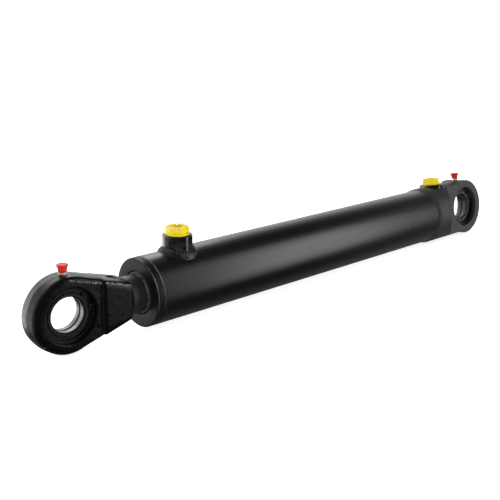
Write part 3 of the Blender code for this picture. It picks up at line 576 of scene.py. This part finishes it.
def combine(obj, tool, operation):
    """Join or cut obj with tool, and remove the tool."""
    step = obj.modifiers.new("combine", "BOOLEAN")
    step.operation = operation
    step.object = tool
    step.solver = "EXACT"
    apply_modifiers(obj)
    bpy.data.objects.remove(tool, do_unlink=True)


def smooth(obj, angle):
    """Shade smooth, with a crease where faces meet at more than the angle."""
    for face in obj.data.polygons:
        face.use_smooth = True
    obj.data.set_sharp_from_angle(angle=math.radians(angle))


def soften(obj, voxel, rounds, keep):
    """Turn a joined solid into one skin with soft edges and blended corners."""
    step = obj.modifiers.new("skin", "REMESH")
    step.mode = "VOXEL"
    step.voxel_size = voxel
    step = obj.modifiers.new("soft", "SMOOTH")
    step.factor = 0.5
    step.iterations = rounds
    step = obj.modifiers.new("lighter", "DECIMATE")
    step.ratio = keep
    apply_modifiers(obj)


def dress(obj, material, body, node, angle=35.0):
    """Give a finished piece its shading, material and body, and hide the node it stands for."""
    smooth(obj, angle)
    obj.data.materials.clear()
    obj.data.materials.append(material)
    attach(obj, body)
    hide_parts(node)


# ---------------------------------------------------------------- tube and gland


def make_tube():
    """Drawn tube, chamfered at its back end for the weld."""
    chamfer = 0.0030
    outline = rounded([
        (BORE_RADIUS, TUBE_BACK), (TUBE_RADIUS - chamfer, TUBE_BACK), (TUBE_RADIUS, TUBE_BACK - chamfer),
        (TUBE_RADIUS, TUBE_FRONT), (BORE_RADIUS, TUBE_FRONT)], 0.0007)
    tube = lathe("tube_shell", outline, ALONG_X)
    dress(tube, TUBE_PAINT, "barrel", "cylinder_tube")


def make_gland():
    """Collar and sleeve, with a round mouth for the wiper."""
    length = GLAND_BACK - GLAND_FACE
    sleeve = BORE_RADIUS - CLEARANCE
    collar = TUBE_RADIUS - 0.0001
    bore = ROD_RADIUS + CLEARANCE
    outline = rounded([
        (sleeve, length), (sleeve, COLLAR), (collar, COLLAR), (collar, 0.0010), (TUBE_RADIUS - 0.0012, 0.0),
        (MOUTH_RADIUS + 0.0010, 0.0), (MOUTH_RADIUS, 0.0012), (MOUTH_RADIUS, MOUTH_DEPTH),
        (bore, MOUTH_DEPTH), (bore, length)], 0.0005)
    gland = lathe("gland_body", outline, at(GLAND_FACE) @ ALONG_X)
    dress(gland, GLAND_PAINT, "barrel", "gland")


def make_wiper():
    """The wiper that fills the gland's mouth, its lip standing a little out of it."""
    outside = MOUTH_RADIUS - 0.0001
    bottom = MOUTH_DEPTH - 0.0001
    lip = ROD_RADIUS + 0.0002
    outline = rounded([
        (outside, bottom), (outside, 0.0010), (outside - 0.0008, 0.0006), (lip + 0.0007, -0.0003),
        (lip, -0.0003), (lip, 0.0030), (lip + 0.0006, 0.0050), (ROD_RADIUS + CLEARANCE, bottom)], 0.0003)
    wiper = lathe("wiper_lip", outline, at(GLAND_FACE) @ ALONG_X)
    dress(wiper, WIPER, "barrel", "rod_wiper")


def make_rod():
    """The chromed rod: its spigot in the rod end, and the stepped tail for the piston and its nut."""
    low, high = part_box("piston_rod")
    shoulder = ROD_SHOULDER + CLEARANCE
    piston_seat = high.x - 0.0590
    nut_seat = high.x - 0.0180
    spigot, piston_bore, nut_thread = 0.0137, 0.0150, 0.0120
    outline = rounded([
        (0.0, high.x), (nut_thread, high.x), (nut_thread, nut_seat), (piston_bore, nut_seat),
        (piston_bore, piston_seat), (ROD_RADIUS, piston_seat), (ROD_RADIUS, shoulder), (spigot, shoulder),
        (spigot, low.x), (0.0, low.x)], 0.0010, closed=False)
    rod = lathe("chromed_rod", outline, ALONG_X, closed=False)
    dress(rod, CHROME, "rod", "piston_rod")


# ---------------------------------------------------------------- welds and port bosses


def make_base_weld():
    """Shallow bead from the tube up to the thicker base end, with a fine ripple."""
    ripples = 88
    root = TUBE_RADIUS - 0.0020
    toe = -0.0031
    section = rounded([
        (root, WELD_BACK), (BASE_RADIUS - 0.0006, WELD_BACK), (BASE_RADIUS - 0.0003, 0.0022),
        (BASE_RADIUS - 0.0001, 0.0010), (TUBE_RADIUS + 0.0008, -0.0010), (TUBE_RADIUS - 0.0001, toe),
        (root, toe)], 0.0012)

    def ripple(angle, index):
        """How far the bead stands out at an angle."""
        lump = noise.noise(Vector((math.cos(angle) * 3, math.sin(angle) * 3, index * 0.2)))
        return 0.00010 * math.sin(angle * ripples + 1.4 * lump) + 0.00015 * lump

    place = at(TUBE_BACK + CLEARANCE) @ ALONG_X
    weld = lathe("base_weld_bead", section, place, steps=ripples * 6, displace=ripple)
    dress(weld, BRIGHTENED_MACHINED_PAINT, "barrel", "base_weld")


def make_port_weld(word, station, skin_radius, bead, lean, ripples, lumps):
    """A convex fillet round a boss, following the round skin under it, lumpier on its rod side."""
    along = 480
    steps = 12

    def skin(distance, outward):
        """Height of the round skin at a distance from the boss."""
        across = (BOSS_RADIUS + distance) * outward.y
        return math.sqrt(skin_radius ** 2 - across ** 2)

    verts = []
    for i in range(along):
        angle = 2 * math.pi * i / along
        outward = Vector((math.cos(angle), math.sin(angle), 0.0))
        uneven = noise.noise(Vector((outward.x * 2.2, outward.y * 2.2, ripples)))
        scallop = math.sin(angle * ripples + 2.0 * uneven)
        forward = max(0.0, -outward.x) * 0.8 + 0.2
        size = bead * (1 + lumps * forward * (0.35 * scallop + 0.9 * uneven))
        toe = size * 1.18
        crest = skin(0.0, outward) + size * 1.10
        for k in range(steps + 1):
            t = k / steps
            grain = noise.noise(Vector((math.cos(angle) * 9, math.sin(angle) * 9, t * 4)))
            bulge = size * (0.16 + 0.5 * lumps * forward * grain) * math.sin(math.pi * t)
            distance = toe * t + bulge * 0.7 - 0.0004 * (1 - t)
            height = crest * (1 - t) + skin(toe, outward) * t + bulge * 0.7 - 0.0005 * t
            verts.append(Vector((station, 0, height)) + outward * (BOSS_RADIUS + distance))
        buried = 0.0020
        inner = BOSS_RADIUS - buried
        verts.append(Vector((station, 0, skin(-buried, outward) - buried)) + outward * inner)
        verts.append(Vector((station, 0, crest)) + outward * inner)
    weld = mesh_object(word + "_port_weld_bead", verts, grid_faces(along, steps + 3), lean)
    dress(weld, WELD_PAINT, "barrel", word + "_port_weld")


def make_boss(word, station, rim, foot, lean):
    """Turned boss with a chamfered rim and the thread for the fitting."""
    passage = 0.0055
    bottom = rim - BOSS_BORE_DEPTH
    outline = [(passage, foot), (passage, bottom), (THREAD_RADIUS, bottom)]
    turns = 6
    start = bottom + 0.0008
    for i in range(turns):
        height = start + i * THREAD_PITCH
        outline += [(THREAD_RADIUS + 0.0004, height), (THREAD_RADIUS - 0.0003, height + THREAD_PITCH / 2)]
    outline += [(THREAD_RADIUS, rim - 0.0012), (THREAD_RADIUS + 0.0010, rim)]
    outline += rounded([
        (THREAD_RADIUS + 0.0012, rim), (BOSS_RADIUS - 0.0009, rim), (BOSS_RADIUS, rim - 0.0010),
        (BOSS_RADIUS, foot)], 0.0006, closed=False)
    boss = lathe(word + "_boss_turned", outline, lean @ at(station), steps=96)
    dress(boss, BOSS_PAINT, "barrel", word + "_port_boss")


# ---------------------------------------------------------------- base end and rod end


def housing_tool(name, half, lean, station):
    """What is bored out of an eye for its bearing: mouth chamfers and two circlip grooves."""
    mouth = 0.0010
    beyond = half + 0.005
    upper = [(0.0, beyond), (HOUSING_RADIUS + mouth + 0.005, beyond), (HOUSING_RADIUS + mouth, half),
             (HOUSING_RADIUS, half - mouth), (HOUSING_RADIUS, OUTER_RING_HALF + GROOVE_WIDTH),
             (GROOVE_RADIUS, OUTER_RING_HALF + GROOVE_WIDTH), (GROOVE_RADIUS, OUTER_RING_HALF),
             (HOUSING_RADIUS, OUTER_RING_HALF)]
    lower = [(radius, -height) for radius, height in reversed(upper)]
    return lathe(name, upper + lower, lean @ at(station) @ ALONG_Y, closed=False)


def spotface_tool(name, eye_radius, lean, station):
    """What is cut from the top of an eye for its nipple: a round seat and the hole down to the bearing."""
    seat_radius = 0.0056
    hole_radius = 0.0032
    beyond = eye_radius + 0.010
    seat = eye_radius - 0.0006
    bottom = HOUSING_RADIUS - 0.002
    outline = [(0.0, beyond), (seat_radius, beyond), (seat_radius, seat), (hole_radius, seat),
               (hole_radius, bottom), (0.0, bottom)]
    return lathe(name, outline, lean @ at(station), steps=SMALL_STEPS, closed=False)


def make_base_end():
    """Round body, 45 degree shoulders, flat-sided eye, bored for the bearing."""
    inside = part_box("base_end")[0].x
    back = -0.0045
    front = TUBE_BACK + WELD_BACK
    spigot = BORE_RADIUS - CLEARANCE
    body = lathe("base_end_machined", [
        (0.0, back), (BASE_RADIUS, back), (BASE_RADIUS, front), (spigot, front - WELD_BACK),
        (spigot, inside), (0.0, inside)], ALONG_X, closed=False)
    eye = disc("eye_disc", BASE_EYE_RADIUS, -BASE_EYE_HALF, BASE_EYE_HALF, ALONG_Y)
    slope = TUBE_RADIUS - BASE_EYE_HALF
    outside = TUBE_RADIUS + 0.010
    beyond = 0.060
    for side in (-1, 1):
        flank = [(SHOULDER_X - 0.010, side * outside), (SHOULDER_X + slope, side * BASE_EYE_HALF),
                 (beyond, side * BASE_EYE_HALF), (beyond, side * outside)]
        combine(body, slab("flank", flank, -beyond, beyond, ALONG_Z), "DIFFERENCE")
    combine(body, eye, "UNION")
    combine(body, housing_tool("housing", BASE_EYE_HALF, UPRIGHT, 0.0), "DIFFERENCE")
    combine(body, spotface_tool("spotface", BASE_EYE_RADIUS, UPRIGHT, 0.0), "DIFFERENCE")
    combine(body, disc("pocket", BOSS_RADIUS - 0.0004, 0.025, 0.050, at(REAR_PORT_X)), "DIFFERENCE")
    soften(body, voxel=0.00042, rounds=3, keep=0.35)
    dress(body, BRIGHTENED_MACHINED_PAINT, "barrel", "base_end", angle=60)


def shank_height(x):
    """Half height of the rod end's flank at x from its pin."""
    return ROD_EYE_RADIUS / math.cos(SHANK_TAPER) - x * math.tan(SHANK_TAPER)


def make_eye_plate(pin):
    """The rod end's eye with the start of its flanks, drafted and rounded towards both faces."""
    touch = 90.0 - math.degrees(SHANK_TAPER)
    root = SHANK_START + 0.006
    plate = [(root, -shank_height(root))] + arc(ROD_EYE_RADIUS, -touch, -360.0 + touch, 96)
    plate.append((root, shank_height(root)))
    steps = 8
    layers = []
    for i in range(steps + 1):
        angle = math.pi / 2 * i / steps
        inset = EYE_ROUNDING * (1 - math.sin(angle)) + FORGING_DRAFT
        layers.append((inset, ROD_EYE_HALF - EYE_ROUNDING * (1 - math.cos(angle))))
    levels = layers + [(0.0, 0.0)] + [(inset, -depth) for inset, depth in reversed(layers)]
    rings = []
    for inset, depth in levels:
        shrink = 1 - inset / ROD_EYE_RADIUS
        rings.append([(x * shrink if x < root - 1e-6 else x, depth, z * shrink) for x, z in plate])
    return loft("rod_end_forged", rings, pin)


def make_shank(pin):
    """The forging between the eye and the rod: tapered flanks with rounded edges, eased at both ends."""
    start = Vector((SHANK_START, shank_height(SHANK_START) - 0.0018))
    end = Vector((SHANK_END, shank_height(SHANK_END)))
    sections = ((start.x, start.y - 0.0035, SHANK_HALF - 0.0040),
                (start.x + 0.0012, start.y - 0.0016, SHANK_HALF - 0.0019),
                (start.x + 0.0040, start.y - 0.0003, SHANK_HALF),
                (end.x - 0.0012, end.y + 0.0002, SHANK_HALF),
                (end.x, end.y - 0.0010, SHANK_HALF - 0.0010))
    rings = []
    for x, height, half in sections:
        corners = [(-half, -height), (half, -height), (half, height), (-half, height)]
        rings.append([(x, y, z) for y, z in rounded(corners, SHANK_ROUNDING * 1.5, steps=10)])
    return loft("shank", rings, pin)


def set_screw_tool():
    """What is drilled into the shank for its set screw: a conical mouth and the hole."""
    hole = SET_SCREW_RADIUS + CLEARANCE
    mouth = 0.0086
    above = 0.040
    below = 0.010
    outline = [(0.0, above), (mouth, above), (mouth, 0.0262), (hole, 0.0210), (hole, below), (0.0, below)]
    return lathe("hole", outline, at(ROD_EYE_X + SET_SCREW_X), steps=SMALL_STEPS, closed=False)


def make_rod_end():
    """Forged eye and shank made as one skin, bored and threaded, with a slightly uneven forged surface."""
    pin = at(ROD_EYE_X)
    nipple_x = middle_x("rod_end_grease_nipple")
    thread_radius = 0.0140
    eye = make_eye_plate(pin)
    combine(eye, make_shank(pin), "UNION")
    combine(eye, housing_tool("housing", ROD_EYE_HALF, UPRIGHT, ROD_EYE_X), "DIFFERENCE")
    combine(eye, spotface_tool("spotface", ROD_EYE_RADIUS, UPRIGHT, nipple_x), "DIFFERENCE")
    thread = disc("thread", thread_radius, SHANK_END - 0.027, SHANK_END + 0.004, pin @ ALONG_X)
    combine(eye, thread, "DIFFERENCE")
    combine(eye, set_screw_tool(), "DIFFERENCE")
    soften(eye, voxel=0.00045, rounds=5, keep=0.40)
    uneven_skin(eye, depth=0.00022)
    eye.data.transform(LEAN)
    dress(eye, FORGING_PAINT, "rod", "rod_end", angle=60)


def uneven_skin(obj, depth):
    """Lower a forged skin a little here and there, but not inside its machined bore."""
    normals = [vertex.normal.copy() for vertex in obj.data.vertices]
    for vertex, normal in zip(obj.data.vertices, normals):
        place = vertex.co
        from_pin = math.hypot(place.x - ROD_EYE_X, place.z)
        if from_pin < HOUSING_RADIUS + 0.0035:
            continue
        swell = noise.noise(place * 60) + 0.5 * noise.noise(place * 170)
        vertex.co = place - normal * (depth * (0.6 - 0.6 * swell))
    obj.data.update()


# ---------------------------------------------------------------- bearings, nipples and plugs


def make_bearing(word, ball_body, ring_body, lean, station, steel):
    """Inner ring with its grease groove and lead-ins, and the outer ring round it."""
    place = lean @ at(station) @ ALONG_Y
    ball = SPHERE_RADIUS - 0.0004
    tilt = math.degrees(math.asin(RING_HALF / ball))
    lead = 0.0017
    mouth = PIN_RADIUS + 0.0015
    groove = PIN_RADIUS + 0.0009
    bore = rounded([
        (mouth, -RING_HALF), (PIN_RADIUS, -RING_HALF + lead), (PIN_RADIUS, -0.0014), (groove, -0.0008),
        (groove, 0.0008), (PIN_RADIUS, 0.0014), (PIN_RADIUS, RING_HALF - lead), (mouth, RING_HALF)],
        0.0004, closed=False)
    inner = lathe(word + "_inner_ring_ground", arc(ball, tilt, -tilt, 20) + bore, place)
    dress(inner, steel, ball_body, word + "_bearing_inner_ring")
    outer_radius = HOUSING_RADIUS - CLEARANCE
    edge = math.degrees(math.asin(OUTER_RING_HALF / SPHERE_RADIUS))
    outline = rounded([
        (SPHERE_RADIUS, OUTER_RING_HALF), (outer_radius, OUTER_RING_HALF),
        (outer_radius, -OUTER_RING_HALF), (SPHERE_RADIUS, -OUTER_RING_HALF)], 0.0006, closed=False)
    outline = outline[1:-1] + arc(SPHERE_RADIUS, -edge, edge, 16)
    outer = lathe(word + "_outer_ring_turned", outline, place)
    dress(outer, PHOSPHATE, ring_body, word + "_bearing_outer_ring")


def make_nipple(word, body, cap_body, lean):
    """Plated nipple with its hexagon and ball seat, under a flared plastic cap."""
    node = word + "_grease_nipple"
    station = (lean.inverted() @ Vector((middle_x(node), 0, 0))).x
    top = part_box(node)[1].z / math.cos(TURN if lean is LEAN else 0.0)
    place = lean @ at(station, 0, top - NIPPLE_TOP)
    outline = rounded([
        (0.0, NIPPLE_TOP), (0.0018, NIPPLE_TOP), (0.0028, 0.0066), (0.0021, 0.0046), (0.0021, 0.0038),
        (0.0031, 0.0034), (0.0031, 0.0), (0.0030, -0.0080), (0.0, -0.0080)], 0.0004, closed=False)
    nipple = lathe(word + "_nipple_plated", outline, place, steps=SMALL_STEPS, closed=False)
    hexagon = rounded(arc(0.0045, 15, 375, 6)[:-1], 0.0004)
    combine(nipple, slab("hexagon", hexagon, -0.0003, HEXAGON_HEIGHT, place), "UNION")
    dress(nipple, ZINC, body, node)
    outline = rounded([
        (0.0, 0.0090), (0.0030, 0.0090), (0.0036, 0.0094), (0.0050, 0.0092), (0.0058, 0.0086),
        (0.0058, 0.0077), (0.0047, 0.0062), (0.0043, 0.0040), (0.0042, 0.0016), (0.0034, 0.0016),
        (0.0034, 0.0081), (0.0, 0.0081)], 0.0005, closed=False)
    cap = lathe(word + "_cap_moulded", outline, place, steps=SMALL_STEPS, closed=False)
    dress(cap, RED, cap_body, word + "_nipple_cap")


def make_plug(word, station, rim, lean, body):
    """Moulded plug: slotted hexagon head with a shallow well, round flange, threaded stem."""
    place = lean @ at(station, 0, rim + PLUG_SEAT)
    edge = 0.0004
    stem = THREAD_RADIUS - 0.0004
    outline = [(0.0, PLUG_FLANGE), (PLUG_FLANGE_RADIUS - edge, PLUG_FLANGE),
               (PLUG_FLANGE_RADIUS, PLUG_FLANGE - edge), (PLUG_FLANGE_RADIUS, 0.0), (stem, 0.0)]
    for i in range(4):
        height = -0.0012 - i * THREAD_PITCH
        outline += [(stem - 0.0006, height), (stem, height - THREAD_PITCH / 2)]
    outline += [(stem - 0.0008, -PLUG_STEM), (0.0, -PLUG_STEM)]
    plug = lathe(word + "_plug_moulded", outline, place, steps=96, closed=False)
    head_place = place @ Matrix.Rotation(PLUG_TURNS[word], 4, "Z")
    hexagon = rounded(arc(PLUG_CORNER, 0, 360, 6)[:-1], 0.0008)
    combine(plug, slab("head", hexagon, PLUG_FLANGE / 2, PLUG_HEIGHT, head_place), "UNION")
    well = disc("well", PLUG_WELL_RADIUS, PLUG_HEIGHT - 0.0030, PLUG_HEIGHT + 0.002, place, SMALL_STEPS)
    combine(plug, well, "DIFFERENCE")
    reach = 0.015
    half = 0.0010
    slot = [(-reach, -half), (reach, -half), (reach, half), (-reach, half)]
    for i in range(2):
        turned = place @ Matrix.Rotation(SLOT_TURNS[word] + i * math.pi / 2, 4, "Z")
        bottom = PLUG_HEIGHT - PLUG_SLOT_DEPTH
        combine(plug, slab("slot", slot, bottom, PLUG_HEIGHT + 0.003, turned), "DIFFERENCE")
    soften(plug, voxel=0.00022, rounds=3, keep=0.35)
    dress(plug, YELLOW, body, word + "_port_plug", angle=60)


make_tube()
make_gland()
make_wiper()
make_rod()
make_base_weld()
make_port_weld("front", FRONT_PORT_X, TUBE_RADIUS, FRONT_BEAD, LEAN, ripples=46, lumps=0.15)
make_port_weld("rear", REAR_PORT_X, BASE_RADIUS, REAR_BEAD, UPRIGHT, ripples=52, lumps=0.06)
make_boss("front", FRONT_PORT_X, FRONT_RIM, FRONT_FOOT, LEAN)
make_boss("rear", REAR_PORT_X, REAR_RIM, REAR_FOOT, UPRIGHT)
make_base_end()
make_rod_end()
make_bearing("rod_end", "rod_end_ball", "rod", LEAN, ROD_EYE_X, GROUND_STEEL)
make_bearing("base", "base_ball", "barrel", UPRIGHT, 0.0, DULL_STEEL)
make_nipple("rod_end", "rod", "rod_end_cap", LEAN)
make_nipple("base", "barrel", "base_cap", UPRIGHT)
make_plug("front", FRONT_PORT_X, FRONT_RIM, LEAN, "front_plug")
make_plug("rear", REAR_PORT_X, REAR_RIM, UPRIGHT, "rear_plug")

# ---------------------------------------------------------------- CAD nodes that stay, with fine bevels
KEPT = {
    "base_circlip_near": PHOSPHATE, "base_circlip_far": PHOSPHATE, "rod_end_circlip_near": PHOSPHATE,
    "rod_end_circlip_far": PHOSPHATE, "rod_end_set_screw": PHOSPHATE, "piston": TURNED_STEEL,
    "piston_nut": ZINC, "piston_seal": POLYURETHANE, "rod_seal": POLYURETHANE,
    "piston_seal_energiser": RUBBER, "piston_bore_o_ring": RUBBER, "gland_o_ring": RUBBER,
    "gland_backup_ring": RESIN, "rod_guide_ring": RESIN, "piston_guide_ring_front": RESIN,
    "piston_guide_ring_rear": RESIN,
}
for name, material in KEPT.items():
    node = nodes[name]
    node.data.materials.clear()
    node.data.materials.append(material)
    edge = node.modifiers.new("edges", "BEVEL")
    edge.width = 0.00015
    edge.segments = 2
    edge.limit_method = "ANGLE"

# ---------------------------------------------------------------- floor, light and camera
WHITE = (1.0, 1.0, 1.0, 1.0)


def make_floor():
    """A plain pale sheet under the cylinder."""
    top = min(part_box(name)[0].z for name in nodes) - 0.0006
    reach = 30.0
    verts = [(-reach, -reach, top), (reach, -reach, top), (reach, reach, top), (-reach, reach, top)]
    floor = mesh_object("floor", verts, [(0, 1, 2, 3)], ALONG_Z)
    n = Nodes("pale_floor")
    colour = n.mixed(n.spread(n.noise(3, detail=2), 0, 1), (0.88, 0.88, 0.88), (0.90, 0.90, 0.90))
    rough = n.spread(n.noise(8, shift=2.0), 0.85, 0.95)
    floor.data.materials.append(n.finish(colour, rough, Specular_IOR_Level=0.2, Emission_Strength=0.75,
                                         Emission_Color=WHITE))
    floor.visible_glossy = False


def make_backdrop():
    """A plain white wall far behind, all round, which only closes the view."""
    radius = 25.0
    wall = lathe("backdrop", [(radius, -1.0), (radius, 30.0)], ALONG_Z, steps=96, closed=False)
    n = Nodes("white_backdrop")
    colour = n.mixed(n.spread(n.noise(0.3, detail=2), 0, 1), (0.90, 0.90, 0.90), (0.92, 0.92, 0.92))
    rough = n.spread(n.noise(0.5, shift=2.0), 0.90, 1.0)
    wall.data.materials.append(n.finish(colour, rough, Specular_IOR_Level=0.0, Emission_Strength=1.0,
                                        Emission_Color=WHITE))
    wall.visible_glossy = False
    wall.visible_diffuse = False
    wall.visible_shadow = False


def make_world():
    """A studio by direction: white around, darker overhead, in front and below, one soft bright panel in
    front towards the base and another behind on the left."""
    world = bpy.data.worlds.new("studio")
    world.use_nodes = True
    bpy.context.scene.world = world
    tree = world.node_tree
    direction = tree.nodes.new("ShaderNodeTexCoord").outputs["Generated"]

    def toward(aim, start, end, low, high):
        """A number that goes from low to high as the direction turns towards the aim: start and end are the
        cosines of its angle to the aim."""
        dot = tree.nodes.new("ShaderNodeVectorMath")
        dot.operation = "DOT_PRODUCT"
        tree.links.new(direction, dot.inputs[0])
        dot.inputs[1].default_value = aim
        node = tree.nodes.new("ShaderNodeMapRange")
        node.interpolation_type = "SMOOTHSTEP"
        tree.links.new(dot.outputs["Value"], node.inputs["Value"])
        for socket, value in (("From Min", start), ("From Max", end), ("To Min", low), ("To Max", high)):
            node.inputs[socket].default_value = value
        return node.outputs[0]

    def joined(operation, first, second):
        """One step of arithmetic on two numbers."""
        node = tree.nodes.new("ShaderNodeMath")
        node.operation = operation
        tree.links.new(first, node.inputs[0])
        tree.links.new(second, node.inputs[1])
        return node.outputs[0]

    overhead = toward(Vector((0.654, -0.131, 0.745)), 0.72, 0.95, 1.0, 0.03)
    front = toward(Vector((0, -1, 0)), -0.25, 0.35, 1.1, 0.12)
    low = toward(Vector((0.25, 0, -0.968)), 0.21, 0.36, 1.0, 0.14)
    room = joined("MULTIPLY", joined("MULTIPLY", overhead, front), low)
    side = joined("MULTIPLY", toward(X, 0.545, 0.59, 0.0, 1.0), toward(X, 0.70, 0.80, 1.0, 0.24))
    panel = joined("MULTIPLY", side, toward(Vector((0, -0.985, 0.174)), 0.49, 0.64, 0.0, 5.1))
    back = toward(Vector((-0.25, 0.93, 0.10)).normalized(), 0.885, 0.94, 0.0, 2.6)
    background = tree.nodes["Background"]
    tree.links.new(joined("ADD", joined("ADD", room, back), panel), background.inputs[1])
    background.inputs[0].default_value = WHITE


def area_light(name, place, aim, width, height, power, mirrored=True):
    """A rectangular light at place, turned to the aim, seen in reflections if mirrored."""
    data = bpy.data.lights.new(name, "AREA")
    data.shape = "RECTANGLE"
    data.size = width
    data.size_y = height
    data.energy = power
    light = bpy.data.objects.new(name, data)
    light.location = place
    light.rotation_euler = (Vector(aim) - Vector(place)).to_track_quat("-Z", "Y").to_euler()
    light.visible_camera = False
    light.visible_glossy = mirrored
    bpy.context.scene.collection.objects.link(light)


def make_camera():
    """The view from in front and beyond the rod end, from a little above and slightly rolled."""
    data = bpy.data.cameras.new("camera")
    data.lens = 58.03
    data.sensor_width = 36.0
    data.clip_end = 200.0
    camera = bpy.data.objects.new("camera", data)
    place = Vector((-1.0179, -0.6773, 0.1814))
    aim = Vector((-0.4151, 0.0, 0.0138))
    roll = math.radians(-5.372)
    looking = (aim - place).to_track_quat("-Z", "Y").to_matrix().to_4x4()
    camera.matrix_world = Matrix.Translation(place) @ looking @ Matrix.Rotation(roll, 4, "Z")
    bpy.context.scene.collection.objects.link(camera)
    bpy.context.scene.camera = camera


make_floor()
make_backdrop()
make_world()
middle = Vector((ROD_EYE_X / 2, 0, 0))
area_light("top_softbox", middle + Vector((0.2, 1.2, 1.3)), middle, width=1.6, height=0.8, power=12)
area_light("front_fill", Vector((-1.2, -1.6, 1.1)), middle, width=1.5, height=1.2, power=19,
           mirrored=False)
make_camera()
bpy.context.scene.view_settings.view_transform = "Standard"
